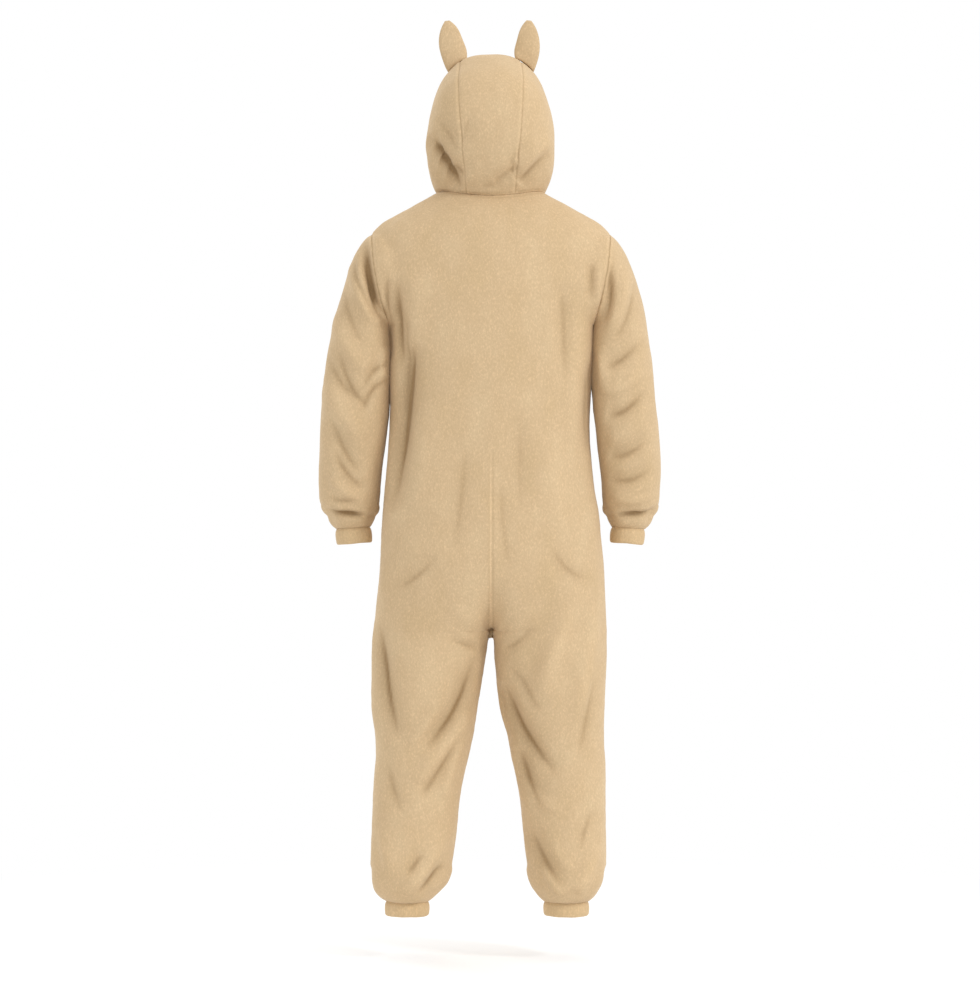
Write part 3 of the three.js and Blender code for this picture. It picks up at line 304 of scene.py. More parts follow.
# Height in millimetres, then distances from the middle in metres
FLOOR = {"height": -1535, "radius": 5.0, "plain_to": 0.5, "white_from": 1.9}
FLOOR_PAINT = (0.92, 0.92, 0.92, 1)


def add_light(name, place, watts, size):
    """A square soft light that points at the garment."""
    data = bpy.data.lights.new(name, "AREA")
    data.energy = watts
    data.size = size
    light = placed(name, data)
    light.location = place
    light.rotation_euler = (AIM - Vector(place)).to_track_quat("-Z", "Y").to_euler()


def white_room():
    """A room that is seen as plain white, and lights the cloth more from one side than from the other."""
    world = bpy.data.worlds.new("white_room")
    world.use_nodes = True
    tree = world.node_tree
    tree.nodes.clear()
    direction = add_node(tree, "ShaderNodeTexCoord").outputs["Generated"]
    facing = add_node(
        tree, "ShaderNodeVectorMath", {"operation": "DOT_PRODUCT", 1: BRIGHT_SIDE}, {0: direction}
    ).outputs["Value"]
    light = mapped(tree, facing, ROOM_LIGHT)
    seen = add_node(tree, "ShaderNodeLightPath").outputs["Is Camera Ray"]
    strength = add_node(tree, "ShaderNodeMix", {3: 1.0}, {0: seen, 2: light}).outputs[0]
    room = add_node(tree, "ShaderNodeBackground", {"Color": PLAIN}, {"Strength": strength})
    output = add_node(tree, "ShaderNodeOutputWorld")
    tree.links.new(room.outputs[0], output.inputs["Surface"])
    bpy.context.scene.world = world


def pale_floor():
    """A plain pale floor below the garment, which turns into the white of the room further out."""
    material, tree, output = new_material("painted_studio_floor")
    place = add_node(tree, "ShaderNodeTexCoord").outputs["Object"]
    reach = add_node(tree, "ShaderNodeVectorMath", {"operation": "LENGTH"}, {0: place}).outputs["Value"]
    edges = {"From Min": FLOOR["plain_to"], "From Max": FLOOR["white_from"]}
    share = mapped(tree, reach, {"interpolation_type": "SMOOTHSTEP", **edges})
    paint = add_node(tree, "ShaderNodeBsdfDiffuse", {"Color": FLOOR_PAINT}).outputs[0]
    glow = add_node(tree, "ShaderNodeEmission", {"Color": PLAIN}).outputs[0]
    surface = add_node(tree, "ShaderNodeMixShader", links={0: share, 1: paint, 2: glow}).outputs[0]
    tree.links.new(surface, output.inputs["Surface"])
    disc = bmesh.new()
    bmesh.ops.create_circle(disc, cap_ends=True, segments=96, radius=FLOOR["radius"])
    floor = placed("floor", mesh_from("floor", disc))
    floor.data.materials.append(material)
    floor.location.z = FLOOR["height"] * MM
    return floor


for settings in LIGHTS:
    add_light(**settings)
white_room()
floor = pale_floor()
bpy.context.scene.view_settings.view_transform = "Standard"
print("lights:", [settings["name"] for settings in LIGHTS], "and", floor.name)

# %% [markdown]
# ## Reading a piece of cloth back as a grid
#
# Each cloth solid of the frame is a wall with an outer face, an inner face and a rim. The outer face is
# rows and columns of points, each four-sided facet cut along a diagonal. To get the grid back, the narrow
# facets of the rim are set aside first: one of their edges is as long as the wall is thick. The larger of
# the two faces that are left is the outer one. Walking from facet to facet then gives its points row by row.

# %% The outer face of a cloth wall
WELD = 1e-6
WALL = 3 * MM
WALL_SLACK = 0.02 * MM
RIM_ANGLE = math.radians(60)


def face_groups(faces, blunt_only=False):
    """Groups of faces that share edges, the largest first. blunt_only stops at sharp edges."""
    left = set(faces)
    groups = []
    while left:
        group = [left.pop()]
        for face in group:
            for edge in face.edges:
                if blunt_only and edge.calc_face_angle() > RIM_ANGLE:
                    continue
                for other in edge.link_faces:
                    if other in left:
                        left.remove(other)
                        group.append(other)
        groups.append(group)
    return sorted(groups, key=lambda group: -len(group))


def both_faces_by_length(solid):
    """The two faces of a wall, once the facets with an edge as long as the wall is thick are set aside."""
    across_wall = {edge for edge in solid.edges if abs(edge.calc_length() - WALL) < WALL_SLACK}
    return face_groups(face for face in solid.faces if not across_wall.intersection(face.edges))[:2]


def both_faces_by_angle(solid):
    """The two faces of a wall whose rim is sharp, where one of them can still have a strip of rim on it."""
    with_rim, clean = face_groups(solid.faces, blunt_only=True)[:2]
    clean_points = {vert for face in clean for vert in face.verts}
    return [[face for face in with_rim if not clean_points.intersection(face.verts)], clean]


def outer_face(node, sharp_rim):
    """The corner numbers of the triangles of a node's outer face, and all its points."""
    solid = bmesh.new()
    solid.from_mesh(frame["nodes"][node].data)
    bmesh.ops.remove_doubles(solid, verts=solid.verts, dist=WELD)
    solid.verts.index_update()
    both = both_faces_by_angle(solid) if sharp_rim else both_faces_by_length(solid)
    outer = max(both, key=lambda faces: sum(face.calc_area() for face in faces))
    triangles = [[vert.index for vert in face.verts] for face in outer]
    points = np.array([vert.co for vert in solid.verts])
    solid.free()
    return triangles, points


def grid_of(node, row_length, hood=False):
    """A node's outer points in rows and columns. Across times down points outwards."""
    triangles, points = outer_face(node, sharp_rim=hood)
    opposite = {}
    around = {}
    for triangle in triangles:
        for k in range(3):
            a, b, c = (triangle[(k + j) % 3] for j in range(3))
            opposite[a, b] = c
            around.setdefault(a, set()).update((b, c))
    following = {a: b for a, b in opposite if (b, a) not in opposite}
    corners = {point for point in following if len(around[point]) <= 3}
    sides = []
    for corner in corners:
        side = [corner, following[corner]]
        while side[-1] not in corners:
            side.append(following[side[-1]])
        sides.append(side)
    assert len(sides) == 4, (node, len(sides))
    level = [side for side in sides if len(side) == row_length]
    first = sorted(level, key=lambda side: points[side][:, 2].mean())[0 if hood else -1]
    right = next(side for side in sides if side[0] == first[-1])
    left = next(side for side in sides if side[-1] == first[0])[::-1]
    leans_back = len(around[first[0]]) == 2
    rows = [first]
    for r in range(1, len(right)):
        third = [opposite[rows[-1][c], rows[-1][c + 1]] for c in range(row_length - 1)]
        rows.append([*third, right[r]] if leans_back else [left[r], *third])
    return points[np.array(rows)]


# %% All the cloth grids
BODY_COLUMNS = 11
SLEEVE_COLUMNS = 19
CROWN_COLUMNS = 7
CHEEK_COLUMNS = 18


def turned(grid, wrong_way):
    """A grid with its columns in the wanted order, and 1 or -1 for where across times down points."""
    return (grid[:, ::-1], -1.0) if wrong_way else (grid, 1.0)


def read_all():
    """The grids of all cloth pieces, each with its sign."""
    grids = {}
    for side in ("left", "right"):
        for face in ("back", "front"):
            grid = grid_of(f"{face}_{side}", BODY_COLUMNS)
            grids[f"{face}_{side}"] = turned(grid, abs(grid[0, 0, 0]) > abs(grid[0, -1, 0]))
        grid = grid_of(f"sleeve_{side}", SLEEVE_COLUMNS)
        grids[f"sleeve_{side}"] = turned(grid, grid[0, 1, 1] > grid[0, -2, 1])
        grid = grid_of(f"hood_{side}", CHEEK_COLUMNS, hood=True)
        grids[f"hood_{side}"] = turned(grid, grid[0, 0, 1] < grid[0, -1, 1])
    grid = grid_of("hood_centre", CROWN_COLUMNS, hood=True)
    grids["hood_centre"] = turned(grid, grid[0, 0, 0] > grid[0, -1, 0])
    return grids


grids, outward = {}, {}
for name, (grid, sign) in read_all().items():
    grids[name] = grid
    outward[name] = sign
for name, grid in grids.items():
    print(name, "has", grid.shape[0], "rows of", grid.shape[1], "points")

# %% [markdown]
# ## Folds as curves
#
# A fold is a soft ridge or trough along a curve. Each row below names the face it lies on (back 1, front
# -1), three points that its curve passes through in x and z, its half width and its height, all in
# millimetres. The first tables hold the large folds, which the frame has too, though only as coarsely as
# its points allow. The second ones hold what is only worth drawing here.

# %% The large folds
BODY_FOLDS = [
    # back, left side
    (1, (190, -170), (187, -255), (181, -350), 17, -5),
    (1, (158, -300), (172, -440), (203, -640), 24, -10),
    (1, (132, -420), (136, -520), (148, -640), 26, 4),
    # back, right side
    (1, (-140, -180), (-146, -270), (-149, -390), 22, -4),
    (1, (-172, -200), (-173, -330), (-158, -500), 22, 5),
    (1, (-62, -420), (-58, -530), (-60, -650), 26, -3),
    (1, (-118, -480), (-126, -580), (-134, -690), 26, 4),
    # back of the right leg
    (1, (-178, -780), (-130, -905), (-98, -1020), 24, 8),
    (1, (-208, -820), (-190, -946), (-172, -1050), 18, 6),
    (1, (-20, -975), (-63, -1073), (-134, -1160), 23, -13),
    (1, (-50, -1105), (-73, -1168), (-100, -1225), 17, -8),
    (1, (-76, -1265), (-105, -1331), (-150, -1384), 18, -7),
    # back of the left leg
    (1, (226, -850), (214, -967), (184, -1100), 19, -9),
    (1, (30, -925), (69, -1030), (138, -1112), 23, -9),
    (1, (40, -1028), (91, -1105), (150, -1176), 18, 7),
    (1, (58, -1080), (106, -1157), (142, -1205), 16, -6),
    (1, (88, -1268), (128, -1343), (178, -1398), 17, 6),
    # front, which the photograph doesn't show: like the back, and as uneven
    (-1, (172, -180), (160, -290), (164, -410), 22, -6),
    (-1, (-168, -190), (-166, -320), (-178, -470), 24, -7),
    (-1, (118, -430), (128, -560), (150, -700), 26, 5),
    (-1, (-96, -400), (-104, -530), (-128, -680), 26, 5),
    (-1, (12, -850), (90, -815), (170, -745), 22, -7),
    (-1, (-14, -845), (-84, -800), (-176, -755), 22, -6),
    (-1, (36, -1000), (120, -1062), (214, -1080), 22, -8),
    (-1, (44, -1060), (128, -1128), (220, -1150), 20, 6),
    (-1, (-38, -1040), (-118, -1108), (-206, -1120), 22, -8),
    (-1, (-52, -1110), (-130, -1170), (-210, -1178), 20, 6),
    (-1, (92, -1290), (148, -1352), (212, -1376), 18, -6),
    (-1, (-88, -1300), (-140, -1350), (-204, -1380), 18, -6),
]
SLEEVE_FOLDS = [
    # back of the left sleeve
    (1, (250, -95), (243, -175), (219, -250), 15, -8),
    (1, (268, -130), (254, -205), (224, -262), 15, 5),
    (1, (310, -300), (283, -380), (240, -425), 17, -6),
    (1, (322, -440), (296, -510), (256, -560), 17, -6),
    (1, (326, -375), (300, -440), (246, -490), 18, 5),
    # back of the right sleeve
    (1, (-232, -110), (-238, -190), (-222, -262), 15, -6),
    (1, (-264, -150), (-262, -215), (-230, -285), 15, 6),
    (1, (-222, -345), (-262, -330), (-306, -290), 17, -6),
    (1, (-228, -440), (-268, -432), (-312, -390), 17, -7),
    (1, (-234, -520), (-272, -520), (-318, -488), 17, -6),
    # fronts, at the bend of each arm
    (-1, (226, -330), (276, -366), (322, -372), 18, -7),
    (-1, (230, -400), (280, -424), (330, -420), 18, -7),
    (-1, (250, -110), (242, -180), (222, -250), 16, -7),
    (-1, (-226, -350), (-270, -380), (-318, -384), 18, -7),
    (-1, (-232, -430), (-280, -450), (-326, -440), 18, -6),
    (-1, (-250, -105), (-244, -180), (-222, -255), 16, -7),
]
HOOD_FOLDS = [
    (1, (126, 118), (97, 68), (60, 8), 15, -10),
    (1, (106, 152), (83, 112), (62, 78), 16, -4),
    (1, (-122, 112), (-86, 76), (-50, 28), 13, 5),
    (1, (-116, 82), (-78, 46), (-56, 20), 14, -6),
    (1, (-52, 58), (-30, 36), (-4, 22), 14, -4),
]
ANKLE_GATHERS = {"waves": 5, "height": 3.5, "fade": 70, "seam_z": -1418}
WRIST_GATHERS = {"waves": 6, "height": 2.5, "fade": 45, "seam_z": -666}

# %% The finer folds
FINE_BODY_FOLDS = [
    # back, from the shoulders to the waist
    (1, (188, -165), (186, -260), (180, -345), 7, -3),
    (1, (206, -160), (211, -240), (200, -330), 6, -4),
    (1, (171, -230), (170, -330), (186, -470), 8, -3),
    (1, (160, -165), (150, -240), (152, -330), 22, 3),
    (1, (157, -307), (166, -378), (206, -640), 10, -3),
    (1, (214, -420), (209, -500), (214, -590), 13, 3),
    (1, (-213, -137), (-212, -182), (-210, -228), 9, 4),
    (1, (-200, -137), (-201, -170), (-200, -215), 7, -3),
    (1, (-196, -330), (-190, -420), (-196, -520), 12, -3),
    (1, (-20, -560), (-24, -660), (-40, -760), 18, -2),
    (1, (52, -500), (60, -610), (74, -720), 22, -2.5),
    (1, (-120, -700), (-150, -745), (-200, -770), 16, -3),
    (1, (110, -720), (146, -760), (196, -790), 16, -3),
    # back, round the crotch
    (1, (-30, -873), (-52, -856), (-82, -820), 14, 2.5),
    (1, (26, -880), (48, -850), (80, -812), 14, 2),
    (1, (-24, -905), (-50, -895), (-86, -862), 9, -3),
    (1, (22, -905), (50, -900), (88, -880), 9, -3),
    # back of the right leg
    (1, (-206, -960), (-192, -1045), (-174, -1130), 12, -3),
    (1, (-34, -940), (-70, -985), (-96, -1040), 12, -3),
    (1, (-60, -1165), (-96, -1205), (-140, -1232), 10, 3),
    (1, (-216, -1301), (-195, -1353), (-169, -1396), 14, 5),
    (1, (-206, -1230), (-190, -1268), (-178, -1312), 14, -3),
    (1, (-120, -1290), (-146, -1330), (-168, -1352), 11, 3),
    (1, (-96, -1336), (-120, -1372), (-142, -1400), 9, 4),
    # back of the left leg
    (1, (53, -1084), (80, -1152), (96, -1205), 10, 4),
    (1, (91, -1337), (117, -1364), (149, -1400), 12, -5),
    (1, (137, -1316), (152, -1338), (170, -1359), 14, -4),
    (1, (210, -1130), (196, -1190), (176, -1240), 15, -3),
    (1, (224, -1260), (206, -1320), (190, -1368), 15, 4),
    (1, (104, -1010), (130, -1060), (168, -1096), 12, 3),
    # front
    (-1, (60, -180), (72, -260), (70, -360), 20, -3),
    (-1, (-64, -220), (-74, -300), (-66, -420), 20, -3),
    (-1, (196, -430), (186, -520), (198, -640), 14, -4),
    (-1, (-206, -520), (-192, -600), (-200, -700), 14, -4),
    (-1, (60, -640), (84, -720), (124, -790), 18, 4),
    (-1, (-54, -650), (-86, -730), (-120, -780), 18, 4),
    (-1, (24, -905), (80, -880), (150, -830), 12, 4),
    (-1, (-26, -900), (-84, -866), (-150, -836), 12, 4),
    (-1, (60, -1180), (120, -1216), (190, -1220), 16, -4),
    (-1, (-66, -1220), (-130, -1250), (-196, -1246), 16, -4),
    (-1, (120, -1370), (160, -1392), (204, -1400), 10, 4),
    (-1, (-110, -1372), (-150, -1394), (-198, -1398), 10, 4),
]
FINE_SLEEVE_FOLDS = [
    # back of the left sleeve
    (1, (252, -92), (250, -160), (211, -244), 6, -6),
    (1, (269, -124), (266, -172), (226, -252), 7, -4),
    (1, (214, -300), (219, -345), (222, -385), 9, 4),
    (1, (300, -170), (286, -240), (250, -310), 18, -3),
    (1, (312, -225), (290, -300), (244, -352), 14, 3),
    (1, (330, -310), (306, -372), (262, -410), 10, -3),
    (1, (318, -505), (290, -556), (250, -590), 12, -4),
    (1, (322, -560), (296, -592), (250, -612), 10, 4),
    (1, (334, -628), (291, -639), (250, -640), 5, -7),
    (1, (326, -600), (300, -612), (258, -606), 9, -3),
    (1, (206, -340), (232, -352), (262, -400), 9, -4),
    (1, (204, -368), (236, -392), (258, -440), 8, -4),
    # back of the right sleeve
    (1, (-286, -170), (-276, -236), (-240, -300), 16, -3),
    (1, (-244, -120), (-250, -196), (-234, -270), 8, 3),
    (1, (-222, -390), (-262, -384), (-308, -346), 12, 4),
    (1, (-230, -484), (-270, -480), (-314, -440), 12, 3),
    (1, (-236, -566), (-276, -572), (-322, -548), 12, -4),
    (1, (-240, -602), (-280, -612), (-320, -600), 9, 4),
    (1, (-216, -300), (-222, -350), (-224, -400), 9, 4),
    (1, (-334, -630), (-291, -640), (-250, -639), 5, -6),
    # fronts
    (-1, (232, -460), (276, -486), (326, -486), 14, -4),
    (-1, (-236, -500), (-280, -520), (-322, -512), 14, -4),
    (-1, (244, -590), (284, -606), (324, -600), 10, 4),
    (-1, (-244, -596), (-284, -610), (-324, -602), 10, 4),
    (-1, (334, -630), (291, -640), (250, -637), 5, -5),
    (-1, (-334, -632), (-291, -638), (-250, -640), 5, -5),
]
FINE_HOOD_FOLDS = [
    (1, (118, 110), (92, 62), (62, 10), 6, -5),
    (1, (77, 55), (64, 43), (50, 32), 9, -3),
    (1, (-66, 100), (-50, 74), (-36, 52), 16, -2),
    (1, (20, 60), (34, 40), (44, 18), 12, 2),
    (1, (-54, 50), (-46, 44), (-40, 36), 7, -3),
    (1, (-20, 24), (0, 14), (24, 16), 10, -2),
    (1, (40, 150), (52, 120), (56, 96), 18, -2),
    (-1, (60, -20), (72, 10), (92, 40), 12, -3),
    (-1, (-56, -22), (-74, 6), (-92, 34), 12, -3),
]


def smooth(value):
    """A value from 0 to 1 with soft ends."""
    share = np.clip(value, 0, 1)
    return share * share * (3 - 2 * share)


FOLDS = {
    "body": (BODY_FOLDS, FINE_BODY_FOLDS),
    "sleeve": (SLEEVE_FOLDS, FINE_SLEEVE_FOLDS),
    "hood": (HOOD_FOLDS, FINE_HOOD_FOLDS),
}
CURVE_STEPS = 16
# How suddenly a fold ends, and the y of a normal from which it has its full height
END_POWER = 4
FULL_FACING = 0.25
# In half widths: how far a fold reaches at all, and where the cloth beside it is banked up
FOLD_REACH = 3.2
BANK_PLACE = 1.9
BANK_NARROWNESS = 1.6
# The height from which a fold's painted shade is full, and the half width of the crisp painted dark line in
# its bottom
FULL_SHADE_MM = 9.0
CREASE_LINE_MM = 4.4
SHADE_POWER = 1.3
# How strong the painted shade of a trough's broad hollow and of its crisp line is, and the painted highlight
# on a ridge
SHADES = {"broad": 0.55, "line": 0.6, "ridge": 0.5}


def fold_curve(start, middle, end):
    """Points on the parabola that passes through three places."""
    s = np.linspace(0, 1, CURVE_STEPS + 1)[:, None]
    weights = (2 * (s - 0.5) * (s - 1), -4 * s * (s - 1), 2 * s * (s - 0.5))
    return sum(weight * np.array(place, float) for weight, place in zip(weights, (start, middle, end)))


def fold_relief(points, normals, folds, lean=0.0, bank=0.0, crease=2.0, seed=0):
    """The height of all folds at each point, in millimetres, and its painted shade, from -1 deep in a trough,
    up to painted highlight on a ridge. lean makes one flank of each fold steeper, by a seeded share, bank
    raises the cloth beside a trough, or lowers it beside a ridge, and a crease power under 2 gives a trough
    a sharp bottom."""
    rng = np.random.default_rng(seed)
    flat = points[:, [0, 2]] / MM
    total, shade = np.zeros(len(points)), np.zeros(len(points))
    for face, start, middle, end, width, height in folds:
        tilt = lean * rng.uniform(-1, 1)
        curve = fold_curve(start, middle, end)
        reach = FOLD_REACH * width
        inside = ((flat > curve.min(0) - reach) & (flat < curve.max(0) + reach)).all(1)
        near = np.flatnonzero(inside & (normals[:, 1] * face > 0))
        steps = np.diff(curve, axis=0)
        offset = flat[near, None] - curve[:-1]
        along = np.clip((offset * steps).sum(2) / (steps**2).sum(1), 0, 1)
        gap = offset - along[..., None] * steps
        away = np.hypot(gap[..., 0], gap[..., 1])
        best = away.argmin(1)
        rows = np.arange(len(near))
        place = (best + along[rows, best]) / CURVE_STEPS
        step, miss = steps[best], gap[rows, best]
        side = np.sign(step[:, 0] * miss[:, 1] - step[:, 1] * miss[:, 0])
        across = side * away[rows, best] / (width * (1 + tilt * side))
        power = crease if height < 0 else 2.0
        profile = np.exp(-(np.abs(across) ** power))
        profile -= bank * np.exp(-((across - BANK_PLACE) ** 2) * BANK_NARROWNESS)
        facing = smooth(normals[near, 1] * face / FULL_FACING)
        strength = (1 - (2 * place - 1) ** END_POWER) * facing
        total[near] += height * strength * profile
        # Painted shade: a broad dark hollow and a crisp dark line along a trough, and painted highlight along
        # a ridge
        depth = min(abs(height) / FULL_SHADE_MM, 1) ** SHADE_POWER
        ends = 1 - (2 * place - 1) ** 2
        if height < 0:
            line = np.exp(-((away[rows, best] / CREASE_LINE_MM) ** 2))
            tone = -(SHADES["broad"] * np.exp(-(np.abs(1.6 * across) ** 1.3)) + SHADES["line"] * line)
        else:
            tone = SHADES["ridge"] * np.exp(-(across**2) * 3)
        shade[near] += depth * strength * ends * tone
    return total, shade


def gather_relief(settings, turn, z_mm):
    """Waves round a ring above a cuff, which fade out upwards."""
    near = 1 - np.clip((z_mm - settings["seam_z"]) / settings["fade"], 0, 1)
    uneven = 1 - 0.25 * (1 - np.sin(2 * turn + 0.8))
    return settings["height"] * uneven * np.sin(math.pi * np.sqrt(near)) * np.cos(settings["waves"] * turn)


print("large and finer folds:", [sum(len(tables[k]) for tables in FOLDS.values()) for k in (0, 1)])

# %% [markdown]
# ## From a coarse grid to a smooth sheet
#
# The large folds are first taken off the coarse points, because they are put back at full resolution.
# A smooth surface then passes through every point. At a seam it needs one more column beyond the
# edge, and takes it from the neighbouring panel, so that both panels arrive at the seam at the same
# slope, as sewn cloth does.

# %% Neighbours and smooth sheets
SHOULDER_TIP_ROW = 5
ARMPIT_ROW = 14
CROTCH_ROW = 29
STEP_MM = 4.4
SEAM_STEP_MM = 1.9
OTHER_SIDE = {"left": "right", "right": "left"}
OTHER_FACE = {"back": "front", "front": "back"}
PANELS = [f"{face}_{side}" for face in ("back", "front") for side in ("left", "right")]


def beyond(first, second):
    """A point beyond the first of two, in a straight line."""
    return 2 * first - second


def ghosts(name, source):
    """The columns just outside a grid, from its neighbours where it is sewn to one."""
    grid = source[name]
    before = beyond(grid[:, 0], grid[:, 1])
    after = beyond(grid[:, -1], grid[:, -2])
    kind, _, side = name.partition("_")
    if name in PANELS:
        across, through = source[f"{kind}_{OTHER_SIDE[side]}"], source[f"{OTHER_FACE[kind]}_{side}"]
        before[: CROTCH_ROW + 1] = across[: CROTCH_ROW + 1, 1]
        before[CROTCH_ROW + 1 :] = through[CROTCH_ROW + 1 :, 1]
        after[: SHOULDER_TIP_ROW + 1] = through[: SHOULDER_TIP_ROW + 1, -2]
        after[ARMPIT_ROW:] = through[ARMPIT_ROW:, -2]
    elif kind == "sleeve":
        before, after = grid[:, -2], grid[:, 1]
    elif name == "hood_centre":
        before, after = source["hood_right"][:, 1], source["hood_left"][:, 1]
    else:
        before = source["hood_centre"][:, -2 if side == "left" else 1]
        after = source[f"hood_{OTHER_SIDE[side]}"][:, -2]
    return before, after


def padded_grid(name, source):
    """A grid with one more column and row on each side."""
    before, after = ghosts(name, source)
    wide = np.concatenate([before[:, None], source[name], after[:, None]], axis=1)
    top, bottom = beyond(wide[0], wide[1]), beyond(wide[-1], wide[-2])
    return np.concatenate([top[None], wide, bottom[None]])


def unit(vectors):
    """Vectors of length 1."""
    return vectors / np.maximum(np.linalg.norm(vectors, axis=-1, keepdims=True), 1e-12)


def coarse_normals(name, source):
    """The outward direction at each point of a grid."""
    wide = padded_grid(name, source)
    across = wide[1:-1, 2:] - wide[1:-1, :-2]
    down = wide[2:, 1:-1] - wide[:-2, 1:-1]
    return unit(np.cross(across, down)) * outward[name]


def folds_of(name):
    """The large and the finer folds of a sheet."""
    return FOLDS["body" if name in PANELS else name.split("_")[0]]


def turns_of(name, columns):
    """How far round its ring each column of a leg or sleeve is. Column numbers can be fractions."""
    if name in PANELS:
        face = 1 if name.startswith("back") else -1
        return math.pi * (1 - face * (1 - columns / (BODY_COLUMNS - 1)))
    return -math.pi + 2 * math.pi * columns / (SLEEVE_COLUMNS - 1)


def gathers_of(name, points, columns):
    """The height of the gathers above a sheet's cuff, in millimetres."""
    if name.startswith("hood"):
        return np.zeros(points.shape[:2])
    settings = ANKLE_GATHERS if name in PANELS else WRIST_GATHERS
    return gather_relief(settings, turns_of(name, columns)[None], points[..., 2] / MM)


def without_folds(name):
    """A coarse grid with its large folds and gathers taken off."""
    grid, normals = grids[name], coarse_normals(name, grids)
    height, _ = fold_relief(grid.reshape(-1, 3), normals.reshape(-1, 3), folds_of(name)[0])
    height = height.reshape(grid.shape[:2])
    height += gathers_of(name, grid, np.arange(grid.shape[1]))
    height[0] = 0
    if name in PANELS:
        height[CROTCH_ROW, 0] = 0
        height[SHOULDER_TIP_ROW : ARMPIT_ROW + 1, -1] = 0
    else:
        height[-1] = 0
    return grid - height[..., None] * MM * normals


def stations(lengths_mm, fine_ends):
    """Where to place the points of a fine row or column, in steps of the coarse one."""
    places = []
    for i, length in enumerate(lengths_mm):
        at_seam = fine_ends and i in (0, len(lengths_mm) - 1)
        count = max(2, round(length / (SEAM_STEP_MM if at_seam else STEP_MM)))
        places.extend(i + np.arange(count) / count)
    return np.array([*places, len(lengths_mm)])


def spline(points, places):
    """The points, and the slopes there, at some places on smooth curves that run down the rows of a padded
    grid. Each curve takes its own distances between points into account, so uneven steps give no ripples."""
    steps = np.linalg.norm(np.diff(points, axis=0), axis=-1)[..., None] + 1e-9
    speeds = np.diff(points, axis=0) / steps
    tangents = (steps[:-1] * speeds[1:] + steps[1:] * speeds[:-1]) / (steps[:-1] + steps[1:])
    i = np.minimum(places.astype(int), len(tangents) - 2)
    t = (places - i).reshape(-1, *[1] * (points.ndim - 1))
    here, there, step = points[i + 1], points[i + 2], steps[i + 1]
    start, end = tangents[i] * step, tangents[i + 1] * step
    value = (2 * t**3 - 3 * t**2 + 1) * here + (t**3 - 2 * t**2 + t) * start
    value += (3 * t**2 - 2 * t**3) * there + (t**3 - t**2) * end
    slope = (6 * t**2 - 6 * t) * (here - there) + (3 * t**2 - 4 * t + 1) * start + (3 * t**2 - 2 * t) * end
    return value, slope


def fine_sheet(name, source):
    """Fine points and their normals, with the coarse row and column that each lies at."""
    grid = source[name]
    # Pieces that are sewn side by side take the same rows, so that their seams meet point to point.
    model = grid
    if not name.startswith("sleeve"):
        model = source["back_left" if name in PANELS else "hood_centre"]
    row_lengths = np.linalg.norm(np.diff(model, axis=0), axis=2).mean(1) / MM
    column_lengths = np.linalg.norm(np.diff(grid, axis=1), axis=2).mean(0) / MM
    row_places = stations(row_lengths, fine_ends=name not in PANELS)
    column_places = stations(column_lengths, fine_ends=True)
    down_first, _ = spline(padded_grid(name, source), row_places)
    points, across = (field.swapaxes(0, 1) for field in spline(down_first.swapaxes(0, 1), column_places))
    down = np.gradient(points, axis=0)
    return {
        "points": points,
        "normals": unit(np.cross(across, down)) * outward[name],
        "rows": row_places,
        "columns": column_places,
    }


# The coarse facets turn sharply at these rows, where the real cloth curves.
SOFTENED_ROWS = {"shoulder": range(3, 10), "armpit": range(12, 17)}
SOFTEN_TIMES = 4


def at_height(grid, above, below, row):
    """The y that a row's points would have on the straight line between the rows above and below it."""
    x = np.abs(grid[..., 0])
    share = (grid[above, :, 2] - grid[row, :, 2]) / (grid[above, :, 2] - grid[below, :, 2])
    upper, lower = (np.interp(x[row], x[k, :-1], grid[k, :-1, 1]) for k in (above, below))
    return (1 - share) * upper + share * lower


def softened(name, grid):
    """A body panel without the frame's step at the crotch and its ridges at the shoulder and armpit."""
    grid = grid.copy()
    weight = np.interp(np.arange(BODY_COLUMNS), [0, 1, BODY_COLUMNS - 2, BODY_COLUMNS - 1], [0, 1, 1, 0])
    for _ in range(SOFTEN_TIMES):
        for row in (CROTCH_ROW, CROTCH_ROW - 1, CROTCH_ROW + 1, CROTCH_ROW):
            level = at_height(grid, row - 1, row + 1, row)
            grid[row, :, 1] += (1 if row == CROTCH_ROW else 0.5) * weight * (level - grid[row, :, 1])
    for _ in range(SOFTEN_TIMES):
        for rows in SOFTENED_ROWS.values():
            before = grid.copy()
            for r in rows:
                ahead, behind = before[r + 1] - before[r], before[r - 1] - before[r]
                near, far = np.linalg.norm(ahead, axis=1), np.linalg.norm(behind, axis=1)
                pull = (ahead / near[:, None] + behind / far[:, None]) * (np.minimum(near, far) / 4)[:, None]
                grid[r, :-2] += pull[:-2]
    return grid


bare = {name: without_folds(name) for name in grids}
for name in PANELS:
    bare[name] = softened(name, bare[name])
sheets = {name: fine_sheet(name, bare) for name in grids}
for name, sheet in sheets.items():
    print(name, "fine sheet of", *sheet["points"].shape[:2])

# %% [markdown]
# ## Seams, creases and the unevenness of real cloth
#
# Along a seam the cloth dips by a millimetre or two, and stands up a little beside it, over the turned-in
# allowance. Small puckers run along it, because two layers never feed through the machine quite evenly.
# Where a sleeve or the hood meets the body, both edges are drawn towards the middle of their ring instead,
# so that they stay together. Broad and small waves from seeded noise make the rest of the cloth uneven.
# Under each arm the facing sides of the sleeve and the body are brought together. The two sheets overlap
# there by up to 10 mm, in the narrow space between arm and body.

# %% Seams and unevenness
# Lengths in millimetres
CREST = {"place": 8, "width": 5}
SEAMS = {
    "side": {"depth": 1.5, "width": 3.2, "crest": 0.6},
    "crown": {"depth": 1.1, "width": 2.4, "crest": 0.5},
    "underarm": {"depth": 1.4, "width": 3.0, "crest": 0.5},
}
